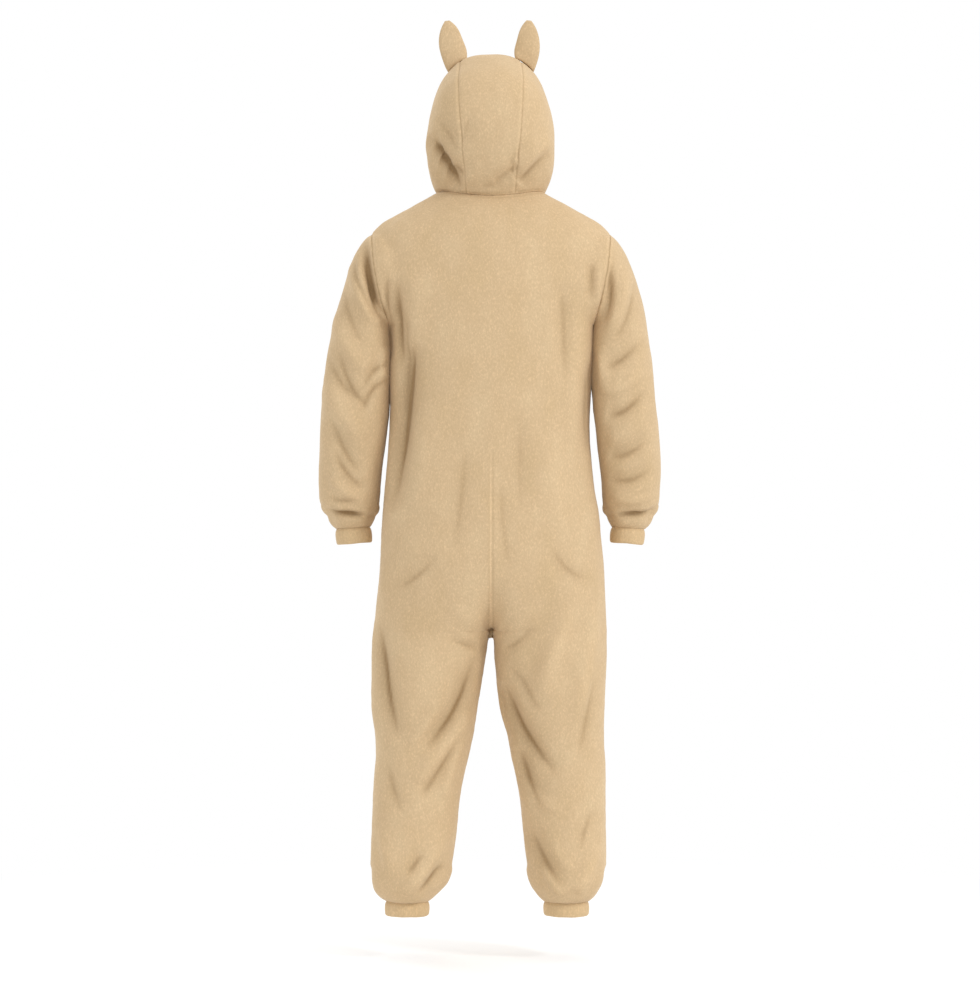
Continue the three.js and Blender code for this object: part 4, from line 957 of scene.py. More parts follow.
# Depth of the centre and inner leg seam by height, in millimetres
CENTRE_SEAM = {
    "height": [-1418, -1100, -905, -880, -760, -560, -480, 0],
    "depth": [1.4, 1.5, 1.5, 1.6, 1.2, 0.7, 0.0, 0.0],
}
CENTRE_WIDTH_MM = 2.6
# The broad dip along the seat's seam, which ends at the crotch
CLEFT = {"height": [-900, -870, -800, -720, -640], "depth": [2.0, 3.5, 3.0, 1.2, 0.0]}
CLEFT_WIDTH_MM = 15
CLEFT_END = {"from": -915, "over": 30}
JOIN_FADE_MM = 9
JOINS = {
    "neck": {"depth": 0.9, "width": 4.0},
    "armhole": {"depth": 1.3, "width": 4.5},
}
WAVES = [
    # size in mm, how much longer the waves are than wide, height in mm
    {"size": 95, "long": 1.8, "height": 2.2},
    {"size": 42, "long": 1.6, "height": 1.3},
    {"size": 17, "long": 1.3, "height": 0.35},
]
PUCKER = {"size": 11, "height": 0.7, "width": 9}
FOLD_STYLE = {"lean": 0.3, "bank": 0.25, "crease": 1.35}
LARGE_GAIN = 1.3
FINE_GAIN = 1.5
# How much more the painted shade and highlight of the finer folds count
FINE_SHADE = 1.7
GATHER_GAIN = 1.25
# Two painted lines along each seam, of highlight where paler and of shade where darker: how much paler
# or, below 0, darker, how far away and how wide, in millimetres
SEAM_SHADE = {
    "centre": ((0.9, 0.0, 1.4), (-0.22, 3.6, 1.8)),
    "crown": ((-0.4, 0.0, 1.5), (0.35, 3.8, 2.0)),
    "neck": ((0.7, 0.5, 1.7), (-0.2, 5.5, 2.6)),
    "armhole": ((-0.6, 0.0, 1.8), (0.5, 5.0, 2.6)),
    "side": ((-0.5, 0.0, 2.0), (0.2, 5.0, 2.4)),
}

# Heights in millimetres over which the centre seam's painted lines fade out upwards
CENTRE_SHADE_ENDS = [-560, -500]
# Points in one step of a distance search, which keeps the memory small
BLOCK = 4000


def lattice_noise(points, size_mm, long, seed):
    """Smooth seeded noise at each point, from about -1 to 1, in grains that are longer than wide."""
    shift = Vector((31.7, 47.3, 19.9)) * (seed + 1)
    scaled = points / (size_mm * MM) / np.array([1, 1, long])
    values = [noise.noise(Vector(point) + shift) for point in scaled.reshape(-1, 3)]
    return np.array(values).reshape(points.shape[:-1])


def edge_distances(points):
    """The distance of each point from its sheet's left, right, top and bottom edge, in millimetres."""
    across = np.linalg.norm(np.diff(points, axis=1), axis=2) / MM
    down = np.linalg.norm(np.diff(points, axis=0), axis=2) / MM
    left = np.pad(across.cumsum(1), ((0, 0), (1, 0)))
    top = np.pad(down.cumsum(0), ((1, 0), (0, 0)))
    return {"left": left, "right": left[:, -1:] - left, "top": top, "bottom": top[-1:] - top}


def seam_relief(points, distance, depth, width, crest, seed):
    """A dip along a seam with a low crest beside it, and puckers that run up to it."""
    relief = -depth * np.exp(-((distance / width) ** 2))
    relief += crest * np.exp(-(((distance - CREST["place"]) / CREST["width"]) ** 2))
    near = np.exp(-((distance / PUCKER["width"]) ** 2)) * np.minimum(depth, 1)
    return relief + PUCKER["height"] * near * lattice_noise(points, PUCKER["size"], 1, seed)


def distance_to(points, line):
    """The distance of each point from the nearest point of a line, in millimetres."""
    flat = points.reshape(-1, 3)
    blocks = (flat[i : i + BLOCK, None] - line[None] for i in range(0, len(flat), BLOCK))
    nearest = [np.linalg.norm(block, axis=2).min(1) for block in blocks]
    return np.concatenate(nearest).reshape(points.shape[:-1]) / MM


def drawn_in(points, distance, centre, depth, width):
    """How far the cloth is drawn towards the middle of a ring near its join."""
    pull = depth * np.exp(-((distance / width) ** 2))
    pull -= 0.25 * depth * np.exp(-(((distance - 2 * width) / width) ** 2))
    return -unit(points - centre) * (pull * MM)[..., None]


def join_lines():
    """The neck seam and both armhole seams, as lines of points."""
    lines = {"neck": np.concatenate([sheets[name]["points"][0] for name in PANELS])}
    for side in ("left", "right"):
        edges = []
        for face in ("back", "front"):
            sheet = sheets[f"{face}_{side}"]
            rows = (sheet["rows"] >= SHOULDER_TIP_ROW) & (sheet["rows"] <= ARMPIT_ROW)
            edges.append(sheet["points"][rows, -1])
        lines[f"armhole_{side}"] = np.concatenate(edges)
    return lines


lines = join_lines()


def joins_of(name):
    """The joins that a sheet's edges lie on."""
    if name.startswith("hood"):
        return ["neck"]
    side = name.split("_")[1]
    return [f"armhole_{side}"] if name.startswith("sleeve") else ["neck", f"armhole_{side}"]


def seam_shade(kind, distance):
    """The paler and darker lines along a seam: painted highlight and painted shade."""
    return sum(high * np.exp(-(((distance - place) / wide) ** 2)) for high, place, wide in SEAM_SHADE[kind])


def edge_shade(name, points, edges):
    """The painted lines of highlight and shade along a sheet's own seams. The seam up the back fades out
    below the waist.
    """
    if name in PANELS:
        strength = np.interp(points[..., 2] / MM, CENTRE_SHADE_ENDS, [1, 0])
        return strength * seam_shade("centre", edges["left"])
    kind = "side" if name.startswith("sleeve") else "crown"
    return seam_shade(kind, edges["left"]) + seam_shade(kind, edges["right"])


def body_relief(points, edges, seed):
    """The height of a body panel's seams and of the dip along the seat."""
    z = points[..., 2] / MM
    centre = np.interp(z, CENTRE_SEAM["height"], CENTRE_SEAM["depth"])
    relief = seam_relief(points, edges["left"], centre, CENTRE_WIDTH_MM, 0.35 * np.minimum(centre, 1), seed)
    cleft = np.interp(z, CLEFT["height"], CLEFT["depth"])
    cleft *= smooth((z - CLEFT_END["from"]) / CLEFT_END["over"])
    relief -= cleft * np.exp(-((edges["left"] / CLEFT_WIDTH_MM) ** 2))
    return relief + seam_relief(points, edges["right"], **SEAMS["side"], seed=seed + 1)


def sheet_relief(name, seed):
    """The height of everything on a sheet, along its normals, and its painted shade and highlight."""
    sheet = sheets[name]
    points, normals = sheet["points"], sheet["normals"]
    flat = points.reshape(-1, 3), normals.reshape(-1, 3)
    large, fine = folds_of(name)
    high, shade = fold_relief(*flat, large, **FOLD_STYLE, seed=seed)
    low, fine_shade = fold_relief(*flat, fine, **FOLD_STYLE, seed=seed + 50)
    relief = (LARGE_GAIN * high + FINE_GAIN * low).reshape(points.shape[:2])
    shade = (shade + FINE_SHADE * fine_shade).reshape(points.shape[:2])
    for k, wave in enumerate(WAVES):
        relief += wave["height"] * lattice_noise(points, wave["size"], wave["long"], seed=k)
    relief += GATHER_GAIN * gathers_of(name, points, sheet["columns"])
    edges = edge_distances(points)
    if name in PANELS:
        relief += body_relief(points, edges, seed=11)
    else:
        seam, seam_seed = ("underarm", 13) if name.startswith("sleeve") else ("crown", 15)
        for edge in ("left", "right"):
            relief += seam_relief(points, edges[edge], **SEAMS[seam], seed=seam_seed)
    return relief, shade + edge_shade(name, points, edges)


def shaped(name, seed):
    """A sheet's final points, and their painted shade values."""
    sheet = sheets[name]
    points = sheet["points"]
    relief, shade = sheet_relief(name, seed)
    move = np.zeros_like(points)
    for join in joins_of(name):
        distance = distance_to(points, lines[join])
        relief = relief * smooth(distance / JOIN_FADE_MM)
        # Painted lines of highlight and shade along the neck and armhole seams
        shade = shade + seam_shade(join.split("_")[0], distance)
        move += drawn_in(points, distance, lines[join].mean(0), **JOINS[join.split("_")[0]])
    return points + relief[..., None] * MM * sheet["normals"] + move, shade


# Around which height the facing sides under the arm are moved, and how far, in millimetres
TOUCH = {"height": -320, "reach": 68, "sleeve": 7.5, "body": 2.5}


def pressed_together(name, sheet):
    """Brings the facing sides of the sleeves and the body together under the arm."""
    points, normals = sheet["points"], sheet["normals"]
    towards = -np.sign(points[0, 0, 0]) if name.startswith("sleeve") else np.sign(points[0, -1, 0])
    move = TOUCH["sleeve" if name.startswith("sleeve") else "body"]
    fade = np.exp(-(np.abs((points[..., 2] / MM - TOUCH["height"]) / TOUCH["reach"]) ** 3))
    points[..., 0] += towards * move * MM * fade * smooth((normals[..., 0] * towards + 0.25) / 0.9)


for name, sheet in sheets.items():
    if not name.startswith("hood"):
        pressed_together(name, sheet)
for number, name in enumerate(sheets):
    sheets[name]["shape"], sheets[name]["shade"] = shaped(name, seed=100 + number)
print("shaped", len(sheets), "sheets")

# %% [markdown]
# ## Turned edges
#
# The cloth turns under at the face opening, where it is hemmed, and above each cuff, where the fullness
# of the leg or sleeve bulges over the band. The last row of a sheet is carried round a small arc and a
# little way back, which gives these edges their soft, round look and the dark line beneath them. The
# turned rows and the allowance also carry painted shade, which deepens that line. At the neck and the
# armholes the seam allowance of the hood or sleeve is turned into the body.

# %% Turning an edge under
HEM = {"radius": 3.4, "degrees": 180, "tail": 15}
OVERHANG = {"radius": 4.0, "degrees": 150, "tail": 5}
TURN_STEP = 15
TAIL_STEP = 3
CLOTH_MM = 2.6


def turned_under(shape, sign, radius, degrees, tail):
    """The rows that carry a sheet's last row round an arc and back inside."""
    down = unit(shape[-1] - shape[-3])
    across = np.gradient(shape[-1], axis=0)
    normal = unit(np.cross(across, down)) * sign
    rows = []
    for angle in np.radians(np.arange(TURN_STEP, degrees + 1, TURN_STEP)):
        rows.append(shape[-1] + radius * MM * (math.sin(angle) * down - (1 - math.cos(angle)) * normal))
    back = math.cos(angle) * down - math.sin(angle) * normal
    rows += [rows[-1] + back * reach * MM for reach in np.arange(TAIL_STEP, tail + 1, TAIL_STEP)]
    return np.concatenate([shape, rows])


def close_seam(first, first_column, second, second_column, rows=slice(None)):
    """Brings the edges of two neighbours together along their shared seam."""
    middle = (first[rows, first_column] + second[rows, second_column]) / 2
    first[rows, first_column] = middle
    second[rows, second_column] = middle


ALLOWANCE = {"inside": 3.6, "reach": 9}
# How far inside and how far along each row of the allowance lies, as shares
ALLOWANCE_ROWS = [(1.0, 1.0), (1.0, 0.5), (0.7, 0.1)]


def with_allowance(name, shape):
    """Adds the seam allowance at a sheet's first row, which is turned into the body behind the seam."""
    into = np.array([0, 0, -1.0]) if name.startswith("hood") else np.array([-np.sign(shape[0, 0, 0]), 0, 0])
    normal = unit(np.cross(np.gradient(shape[0], axis=0), shape[2] - shape[0])) * outward[name]
    rows = [
        shape[0] + MM * (into * ALLOWANCE["reach"] * reach - normal * ALLOWANCE["inside"] * inside)
        for inside, reach in ALLOWANCE_ROWS
    ]
    return np.concatenate([rows, shape])


for name, sheet in sheets.items():
    sheet["plain_rows"] = len(sheet["shape"])
    edge = HEM if name.startswith("hood") else OVERHANG
    sheet["shape"] = turned_under(sheet["shape"], outward[name], **edge)
shape = {name: sheet["shape"] for name, sheet in sheets.items()}
places = sheets["back_left"]["rows"]
crotch = int((places <= CROTCH_ROW).sum())
tip = int((places <= SHOULDER_TIP_ROW).sum())
armpit = int((places < ARMPIT_ROW).sum())
for face in ("back", "front"):
    close_seam(shape[f"{face}_left"], 0, shape[f"{face}_right"], 0, slice(0, crotch))
# All four body panels meet in one point at the crotch.
meeting = np.mean([shape[name][crotch - 1, 0] for name in PANELS], axis=0)
for name in PANELS:
    shape[name][crotch - 1, 0] = meeting
for side in ("left", "right"):
    back, front = shape[f"back_{side}"], shape[f"front_{side}"]
    close_seam(back, 0, front, 0, slice(crotch, None))
    close_seam(back, -1, front, -1, slice(0, tip))
    close_seam(back, -1, front, -1, slice(armpit, None))
    close_seam(shape[f"sleeve_{side}"], 0, shape[f"sleeve_{side}"], -1)
close_seam(shape["hood_centre"], 0, shape["hood_right"], 0)
close_seam(shape["hood_centre"], -1, shape["hood_left"], 0)
close_seam(shape["hood_left"], -1, shape["hood_right"], -1)
# Painted shade on the rows turned under at the edges and on the allowance turned inside
HIDDEN_SHADE = -0.4
for name, sheet in sheets.items():
    sheet["cloth"] = sheet["shape"] if name in PANELS else with_allowance(name, sheet["shape"])
    below = len(sheet["shape"]) - len(sheet["shade"])
    above = len(sheet["cloth"]) - len(sheet["shape"])
    sheet["shade"] = np.pad(sheet["shade"], ((above, below), (0, 0)), constant_values=HIDDEN_SHADE)
print("turned the lower edges under and closed the seams")

# %% [markdown]
# ## Cloth objects
#
# Each shaped sheet becomes a mesh of four-sided faces with a thickness of 2.6 mm towards the inside.

# %% Building the panels
def mesh_of_grid(name, points, sign, closed=False):
    """A smooth mesh through rows and columns of points. closed joins each row's end to its start."""
    rows, columns = points.shape[:2]
    index = np.arange(rows * columns).reshape(rows, columns)
    if closed:
        index = np.concatenate([index, index[:, :1]], axis=1)
    quads = np.stack([index[:-1, :-1], index[:-1, 1:], index[1:, 1:], index[1:, :-1]], axis=-1).reshape(-1, 4)
    if sign < 0:
        quads = quads[:, ::-1]
    mesh = bpy.data.meshes.new(name)
    mesh.from_pydata(points.reshape(-1, 3).tolist(), [], quads.tolist())
    mesh.shade_smooth()
    # A sharp rim keeps the shading of a seam's two sides alike.
    uses = np.bincount([loop.edge_index for loop in mesh.loops], minlength=len(mesh.edges))
    mesh.attributes.new("sharp_edge", "BOOLEAN", "EDGE").data.foreach_set("value", uses == 1)
    return mesh


def new_object(name, mesh, material):
    """An object that rides on the garment's one body."""
    made = placed(name, mesh)
    mesh.materials.clear()
    mesh.materials.append(material)
    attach(made, "root")
    return made


def cloth_object(name, points, sign, material, thickness=CLOTH_MM, closed=False, shade=None):
    """A piece of cloth through rows of points, with its thickness towards the inside."""
    mesh = mesh_of_grid(name, points, sign, closed)
    if shade is not None:
        # The painted shade and highlight of creases, ridges and seams, which the fleece material reads
        values = shade.ravel().astype(np.float32)
        mesh.attributes.new("shade", "FLOAT", "POINT").data.foreach_set("value", values)
    made = new_object(f"{name}_cloth", mesh, material)
    wall = made.modifiers.new("thickness", "SOLIDIFY")
    wall.thickness = thickness * MM
    wall.offset = -1
    return made


cloth = {}
for name, sheet in sheets.items():
    cloth[name] = cloth_object(name, sheet["cloth"], outward[name], fleece, shade=sheet["shade"])
    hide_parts(name)

# %% [markdown]
# ## Cuffs
#
# A cuff is a band of the same fleece folded double and sewn on stretched, so it draws the wider leg or
# sleeve in. Its top edge disappears under the overhang, its lower edge is the fold of the band, and fine
# upright pleats show that the cloth above was eased into it.

# %% Cuffs
RING_POINTS = 132
WRIST_BAND = {"height": 33, "slant": 3, "pleats": 21}
ANKLE_BAND = {"height": 29, "slant": 0, "pleats": 27}
# Down as a share of the height, and outwards in millimetres
BAND_PROFILE = [
    (-0.34, -4.5), (-0.2, -4.2), (-0.06, -3.4), (0.08, -1.6), (0.2, 0.1), (0.34, 0.9), (0.5, 1.2),
    (0.66, 1.1), (0.78, 0.8), (0.86, 0.6), (0.92, 0.2), (0.97, -0.7), (1.0, -2.0), (0.99, -3.3),
    (0.94, -4.3), (0.8, -4.7), (0.55, -4.8),
]
PROFILE_STEPS = 3
PLEAT_MM = 0.3
# The grain sizes of the band's slow waver and of the change in its pleats, in millimetres
WAVER_MM = 26
PLEAT_CHANGE_MM = 18
CUFF_CLOTH_MM = 1.6


def closed_curve(points, count):
    """A smooth closed curve through a ring of points."""
    size = len(points)
    places = np.arange(count) * size / count
    i = places.astype(int)
    t = (places - i)[:, None]
    before, here, after, last = (points[(i + k) % size] for k in (-1, 0, 1, 2))
    return 0.5 * (
        2 * here
        + (after - before) * t
        + (2 * before - 5 * here + 4 * after - last) * t**2
        + (3 * here - before - 3 * after + last) * t**3
    )


def open_curve(points, steps):
    """A smooth curve through a row of points."""
    padded = np.concatenate([[beyond(points[0], points[1])], points, [beyond(points[-1], points[-2])]])
    return spline(padded, np.linspace(0, len(points) - 1, steps))[0]


def cuff_points(ring, height, slant, pleats, seed):
    """A cuff's rows from top to bottom."""
    ring = closed_curve(ring, RING_POINTS)
    centre = ring.mean(0)
    out = ring - centre
    out[:, 2] = 0
    out = unit(out)
    drawn = np.array(BAND_PROFILE) * (height, 1)
    profile = open_curve(drawn, PROFILE_STEPS * len(BAND_PROFILE)) / (height, 1)
    turn = np.linspace(0, 2 * math.pi, RING_POINTS, endpoint=False)
    wander = lattice_noise(ring, WAVER_MM, 1, seed)
    change = lattice_noise(ring, PLEAT_CHANGE_MM, 1, seed + 1)
    pleat = np.cos(pleats * turn + 3 * wander) * (0.6 + 0.5 * change)
    rows = []
    for share, stand in profile:
        full = math.exp(-(((share - 0.35) / 0.4) ** 2))
        reach = (stand + PLEAT_MM * full * pleat + 0.5 * wander) * MM
        drop = share * height + max(share, 0) * 0.9 * wander
        row = ring + out * reach[:, None]
        row[:, 0] += slant * share * MM
        row[:, 2] -= drop * MM
        rows.append(row)
    return np.array(rows)


def add_cuff(name, ring, band, seed):
    """A cuff round a ring of the frame's points."""
    rows = cuff_points(ring, band["height"], band["slant"], band["pleats"], seed)
    across = ring[1] - ring[0]
    sign = 1.0 if np.cross(across, (0, 0, -1)) @ (ring[0] - ring.mean(0)) > 0 else -1.0
    cuff = cloth_object(name, rows, sign, cuff_fleece, CUFF_CLOTH_MM, closed=True)
    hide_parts(name)
    return cuff


cuffs = []
for number, (side, sign) in enumerate((("left", 1), ("right", -1))):
    wrist = grids[f"sleeve_{side}"][-1, :-1]
    ankle = np.concatenate([grids[f"back_{side}"][-1], grids[f"front_{side}"][-1, -2:0:-1]])
    slanted = {**WRIST_BAND, "slant": -sign * WRIST_BAND["slant"]}
    cuffs.append(add_cuff(f"wrist_cuff_{side}", wrist, slanted, seed=31 + number))
    cuffs.append(add_cuff(f"ankle_cuff_{side}", ankle, ANKLE_BAND, seed=41 + number))
print("cuffs:", [cuff.name for cuff in cuffs])

# %% [markdown]
# ## Ears
#
# Each ear is two leaves of fleece sewn edge to edge, turned out and lightly stuffed, then set into the
# hood. The frame's solid has the right outline and thickness, so it is smoothed and given the slight
# lumps of a soft filling, with the seam's edge drawn in all round.

# %% Ears
EAR_LEVELS = 3
LUMP = {"size": 26, "long": 1.4, "height": 1.1}
EDGE_PINCH_MM = 1.0
FILLING_MM = 0.7
# The sideways share of a normal at which the seam's edge ends
EDGE_FACING = 0.55


def smooth_ear(name):
    """The ear's solid as a smooth mesh."""
    soft = bmesh.new()
    soft.from_mesh(frame["nodes"][name].data)
    bmesh.ops.remove_doubles(soft, verts=soft.verts, dist=WELD)
    bmesh.ops.join_triangles(
        soft, faces=soft.faces, angle_face_threshold=math.radians(60), angle_shape_threshold=math.radians(70)
    )
    helper = placed(f"{name}_rough", mesh_from(f"{name}_rough", soft))
    levels = helper.modifiers.new("smooth", "SUBSURF")
    levels.levels = EAR_LEVELS
    levels.render_levels = EAR_LEVELS
    mesh = bpy.data.meshes.new_from_object(helper.evaluated_get(bpy.context.evaluated_depsgraph_get()))
    bpy.data.objects.remove(helper)
    return mesh


def add_ear(name, seed):
    """One stuffed ear."""
    mesh = smooth_ear(name)
    count = len(mesh.vertices)
    points, normals = np.zeros(count * 3), np.zeros(count * 3)
    mesh.vertices.foreach_get("co", points)
    mesh.vertices.foreach_get("normal", normals)
    points, normals = points.reshape(-1, 3), normals.reshape(-1, 3)
    lumps = LUMP["height"] * lattice_noise(points, LUMP["size"], LUMP["long"], seed)
    edge = 1 - smooth(np.abs(normals[:, 1]) / EDGE_FACING)
    move = lumps + FILLING_MM * (1 - edge) - EDGE_PINCH_MM * edge
    mesh.vertices.foreach_set("co", (points + normals * (move * MM)[:, None]).ravel())
    mesh.shade_smooth()
    ear = new_object(f"{name}_pad", mesh, fleece)
    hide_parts(name)
    return ear


ears = [add_ear("ear_left", 51), add_ear("ear_right", 52)]
print("ears:", [ear.name for ear in ears])

# %% [markdown]
# ## Placket and stitches
#
# The front opening is covered by a strip of doubled fleece. It lies on the two front panels, so its
# height at each place is found by a ray shot at them. Two rows of topstitching run down it. A stitch is
# a short capsule of thread, and all stitches of one thread are one mesh.

# %% Placket
PLACKET = {"half": 16, "top": -53, "bottom": -634, "step": 4, "thick": 3.2, "over": 0.5, "under": 0.4}
# From one edge to the middle, and mirrored: the share of the half width, and of the thickness there
PLACKET_SHARES = np.array([-1, -0.985, -0.94, -0.86, -0.75, -0.6, -0.3, 0])
PLACKET_SHARES = np.concatenate([PLACKET_SHARES, -PLACKET_SHARES[-2::-1]])
PLACKET_TOP = np.array([0.2, 0.55, 0.85, 0.97, 0.84, 0.97, 1, 0.96])
PLACKET_TOP = np.concatenate([PLACKET_TOP, PLACKET_TOP[-2::-1]])
STITCH_SHARE = 0.75


def front_tree():
    """A search tree over both shaped front panels."""
    points, faces = [], []
    for name in ("front_left", "front_right"):
        mesh = cloth[name].data
        start = len(points)
        points += [vert.co.copy() for vert in mesh.vertices]
        faces += [[start + i for i in face.vertices] for face in mesh.polygons]
    return BVHTree.FromPolygons(points, faces)


front = front_tree()


def on_front(x_mm, z_mm):
    """The place on the front at an x and z, and the outward direction there."""
    place, normal, _, _ = front.ray_cast(Vector((x_mm * MM, -0.4, z_mm * MM)), Vector((0, 1, 0)))
    return np.array(place), np.array(normal if normal.y < 0 else -normal)


def placket_loop(z_mm):
    """One cross-section of the placket, over its outer face and back under it."""
    centre, _ = on_front(0.5, z_mm)
    out = np.array(on_front(5, z_mm)[1] + on_front(-5, z_mm)[1])
    out[0] = 0
    out = unit(out)
    wavy = 0.5 * noise.noise(Vector((0, 3.1, z_mm / 34)))
    over, under = [], []
    for share, level in zip(PLACKET_SHARES, PLACKET_TOP):
        place, _ = on_front(share * PLACKET["half"] or 0.5, z_mm)
        place[0] = (share * PLACKET["half"] + wavy * share) * MM
        place[1:] = 0.5 * place[1:] + 0.5 * centre[1:]
        over.append(place + out * (PLACKET["over"] + PLACKET["thick"] * level) * MM)
        under.append(place + out * PLACKET["under"] * MM)
    return over + under[-2:0:-1]


def add_placket():
    """The strip down the front, closed at its ends."""
    heights = np.arange(PLACKET["top"], PLACKET["bottom"] - 0.1, -PLACKET["step"])
    loops = np.array([placket_loop(z) for z in heights])
    top, bottom = (0.75 * loops[k].mean(0) + 0.25 * loops[k] for k in (0, -1))
    loops = np.concatenate([[top], loops, [bottom]])
    mesh = mesh_of_grid("placket_strip", loops, -1, closed=True)
    capped = bmesh.new()
    capped.from_mesh(mesh)
    bmesh.ops.holes_fill(capped, edges=[edge for edge in capped.edges if edge.is_boundary], sides=0)
    bmesh.ops.recalc_face_normals(capped, faces=capped.faces)
    capped.to_mesh(mesh)
    capped.free()
    strip = new_object("placket_strip", mesh, fleece)
    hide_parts("placket")
    return strip


placket = add_placket()
print("placket rows:", len(placket.data.vertices) // (2 * len(PLACKET_SHARES) - 2))

# %% Stitches
STITCH = {"pitch": 3.4, "length": 2.5, "radius": 0.38, "sides": 6}
# Each ring of a stitch: how far along it lies, and its share of the full radius
STITCH_RINGS = [(0.12, 0.75), (0.35, 1.0), (0.65, 1.0), (0.88, 0.75)]
STITCH_BOW_MM = 0.35


def capsule(start, end, out, radius, sides):
    """The points and faces of one stitch, which bows out a little between its ends."""
    along = end - start
    side = unit(np.cross(along, out))
    points = [start]
    for share, fat in STITCH_RINGS:
        centre = start + along * share + out * STITCH_BOW_MM * MM * math.sin(math.pi * share)
        for k in range(sides):
            angle = 2 * math.pi * k / sides
            points.append(centre + radius * fat * MM * (math.cos(angle) * side + math.sin(angle) * out))
    points.append(end)
    last = len(points) - 1
    faces = [[0, 1 + (k + 1) % sides, 1 + k] for k in range(sides)]
    for ring in range(len(STITCH_RINGS) - 1):
        low, high = 1 + ring * sides, 1 + (ring + 1) * sides
        faces += [[low + k, low + (k + 1) % sides, high + (k + 1) % sides, high + k] for k in range(sides)]
    low = 1 + (len(STITCH_RINGS) - 1) * sides
    faces += [[last, low + k, low + (k + 1) % sides] for k in range(sides)]
    return points, faces


def stitch_line(path, outs):
    """Stitches along a path, evenly spaced by length."""
    lengths = np.concatenate([[0], np.linalg.norm(np.diff(path, axis=0), axis=1).cumsum()]) / MM

    def at(reach, source):
        """What a row of values is at a length along the path."""
        return np.array([np.interp(reach, lengths, source[:, k]) for k in range(3)])

    made = []
    for start in np.arange(1, lengths[-1] - STITCH["length"], STITCH["pitch"]):
        ends = at(start, path), at(start + STITCH["length"], path)
        made.append(capsule(*ends, unit(at(start, outs)), STITCH["radius"], STITCH["sides"]))
    return made


def thread_object(name, stitches):
    """One mesh of all the given stitches."""
    points, faces = [], []
    for stitch_points, stitch_faces in stitches:
        faces += [[i + len(points) for i in face] for face in stitch_faces]
        points += stitch_points
    mesh = bpy.data.meshes.new(name)
    mesh.from_pydata([tuple(point) for point in points], [], faces)
    mesh.shade_smooth()
    return new_object(name, mesh, thread)


def placket_paths():
    """The two stitch lines down the placket."""
    heights = np.arange(PLACKET["top"] - 4, PLACKET["bottom"] + 4, -4)
    paths = []
    for side in (-1, 1):
        column = int(np.argmin(np.abs(PLACKET_SHARES - side * STITCH_SHARE)))
        path = np.array([placket_loop(z)[column] for z in heights])
        paths.append((path, np.tile([0.0, -1.0, 0.0], (len(path), 1))))
    return paths


def hem_path(name, distance):
    """The line on a hood sheet at a distance from its face edge."""
    sheet = sheets[name]
    shape = sheet["shape"][: sheet["plain_rows"]]
    bottom = edge_distances(shape)["bottom"]
    path, outs = [], []
    for column in range(shape.shape[1]):
        reach = np.minimum(distance, 0.8 * bottom[0, column])
        at = np.interp(-reach, -bottom[:, column], np.arange(len(shape)))
        i = min(int(at), len(shape) - 2)
        t = at - i
        path.append((1 - t) * shape[i, column] + t * shape[i + 1, column])
        outs.append(sheet["normals"][i, column])
    return np.array(path), np.array(outs)


HEM_STITCH_MM = 17
hem_threads = []
for name in ("hood_centre", "hood_left", "hood_right"):
    hem_threads += stitch_line(*hem_path(name, HEM_STITCH_MM))
hem_thread = thread_object("hem_stitches", hem_threads)
placket_threads = [stitch for path in placket_paths() for stitch in stitch_line(*path)]
placket_thread = thread_object("placket_stitches", placket_threads)
for made, stitches in ((hem_thread, hem_threads), (placket_thread, placket_threads)):
    print(made.name, "has", len(stitches), "stitches")

# %% [markdown]
# ## Buttons
#
# Each button is moulded with a raised rim, a shallow dish and four holes, and is sewn on with two bars of
# doubled thread.

# %% Buttons
BUTTON_PROFILE = [
    (10.4, 0.0), (11.4, 0.35), (11.9, 1.1), (12.0, 1.9), (11.8, 2.8), (11.3, 3.5), (10.6, 3.9), (9.8, 4.0),
    (9.0, 3.85), (8.4, 3.45), (7.8, 3.15), (7.0, 3.0), (5.0, 2.95),
]
BUTTON_SIDES = 72
HOLES = {"offset": 2.5, "radius": 1.05, "sides": 24}
BUTTON_COUNT = 5
BUTTON_TURN = 13
THREAD_BAR = {"height": 2.9, "shifts": (-0.32, 0.32), "radius": 0.42, "sides": 8}


def solid_from(name, build):
    """A temporary object from a bmesh that build fills."""
    made = bmesh.new()
    build(made)
    return placed(name, mesh_from(name, made))


def button_body(made):
    """Turns the profile once round."""
    turns = [2 * math.pi * k / BUTTON_SIDES for k in range(BUTTON_SIDES)]
    rings = []
    for radius, height in BUTTON_PROFILE:
        places = [(radius * MM * math.cos(t), radius * MM * math.sin(t), height * MM) for t in turns]
        rings.append([made.verts.new(place) for place in places])
    for low, high in zip(rings, rings[1:]):
        for k in range(BUTTON_SIDES):
            n = (k + 1) % BUTTON_SIDES
            made.faces.new((low[k], low[n], high[n], high[k]))
    made.faces.new(rings[0][::-1])
    made.faces.new(rings[-1])


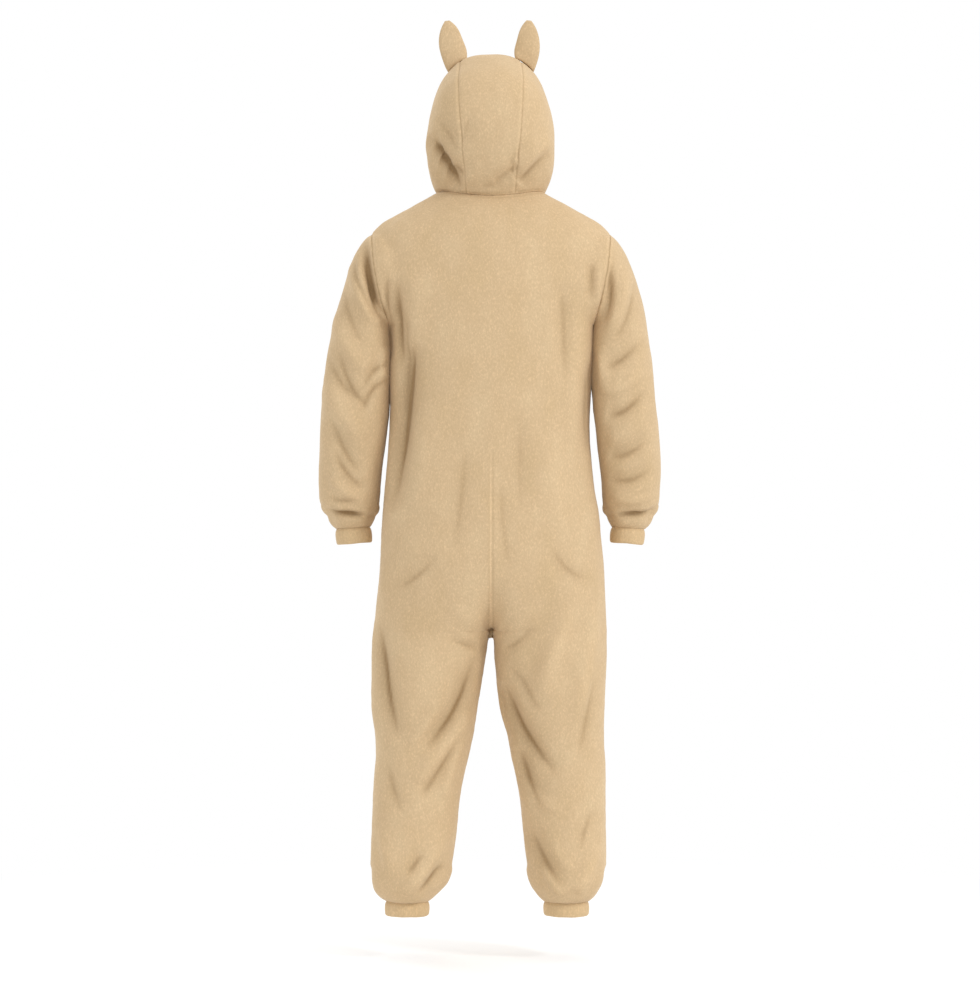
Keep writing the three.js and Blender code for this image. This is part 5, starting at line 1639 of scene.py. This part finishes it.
def button_holes(made):
    """Four rods where the holes go."""
    radius = HOLES["radius"] * MM
    sizes = {"segments": HOLES["sides"], "radius1": radius, "radius2": radius, "depth": 12 * MM}
    for x in (-1, 1):
        for y in (-1, 1):
            place = Matrix.Translation((x * HOLES["offset"] * MM, y * HOLES["offset"] * MM, 2 * MM))
            bmesh.ops.create_cone(made, cap_ends=True, matrix=place, **sizes)


def button_mesh():
    """One button with its holes cut through."""
    body, cutter = solid_from("button_body", button_body), solid_from("button_cutter", button_holes)
    cut = body.modifiers.new("holes", "BOOLEAN")
    cut.operation = "DIFFERENCE"
    cut.object = cutter
    mesh = bpy.data.meshes.new_from_object(body.evaluated_get(bpy.context.evaluated_depsgraph_get()))
    for helper in (body, cutter):
        bpy.data.objects.remove(helper)
    return mesh


def button_place(name):
    """Where a button's back sits, and which way it faces."""
    mesh = frame["nodes"][name].data
    points = np.array([vert.co for vert in mesh.vertices])
    centre = (points.min(0) + points.max(0)) / 2
    _, _, axes = np.linalg.svd(points - points.mean(0), full_matrices=False)
    out = axes[2] if axes[2][1] < 0 else -axes[2]
    depth = (points - centre) @ out
    return centre + out * depth.min(), out


def add_buttons():
    """All buttons, each turned a little, and the thread that holds them."""
    shape = button_mesh()
    bars = []
    for number in range(1, BUTTON_COUNT + 1):
        name = f"button_{number}"
        place, out = button_place(name)
        turn = Vector(out).to_track_quat("Z", "X").to_matrix().to_4x4()
        spin = Matrix.Rotation(math.radians(BUTTON_TURN * number), 4, "Z")
        move = Matrix.Translation(place) @ turn @ spin
        mesh = shape.copy()
        mesh.transform(move)
        button = new_object(f"{name}_disc", mesh, resin)
        for face in mesh.polygons:
            face.use_smooth = True
        mesh.set_sharp_from_angle(angle=math.radians(40))
        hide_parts(name)
        for x in (-1, 1):
            for shift in THREAD_BAR["shifts"]:
                across = x * HOLES["offset"] + shift
                ends = [Vector((across, y * HOLES["offset"], THREAD_BAR["height"])) * MM for y in (-1, 1)]
                ends = [np.array(move @ end) for end in ends]
                bars.append(capsule(*ends, np.array(out), THREAD_BAR["radius"], THREAD_BAR["sides"]))
    return thread_object("button_threads", bars)


button_threads = add_buttons()
print("buttons are on, sewn with", button_threads.name)
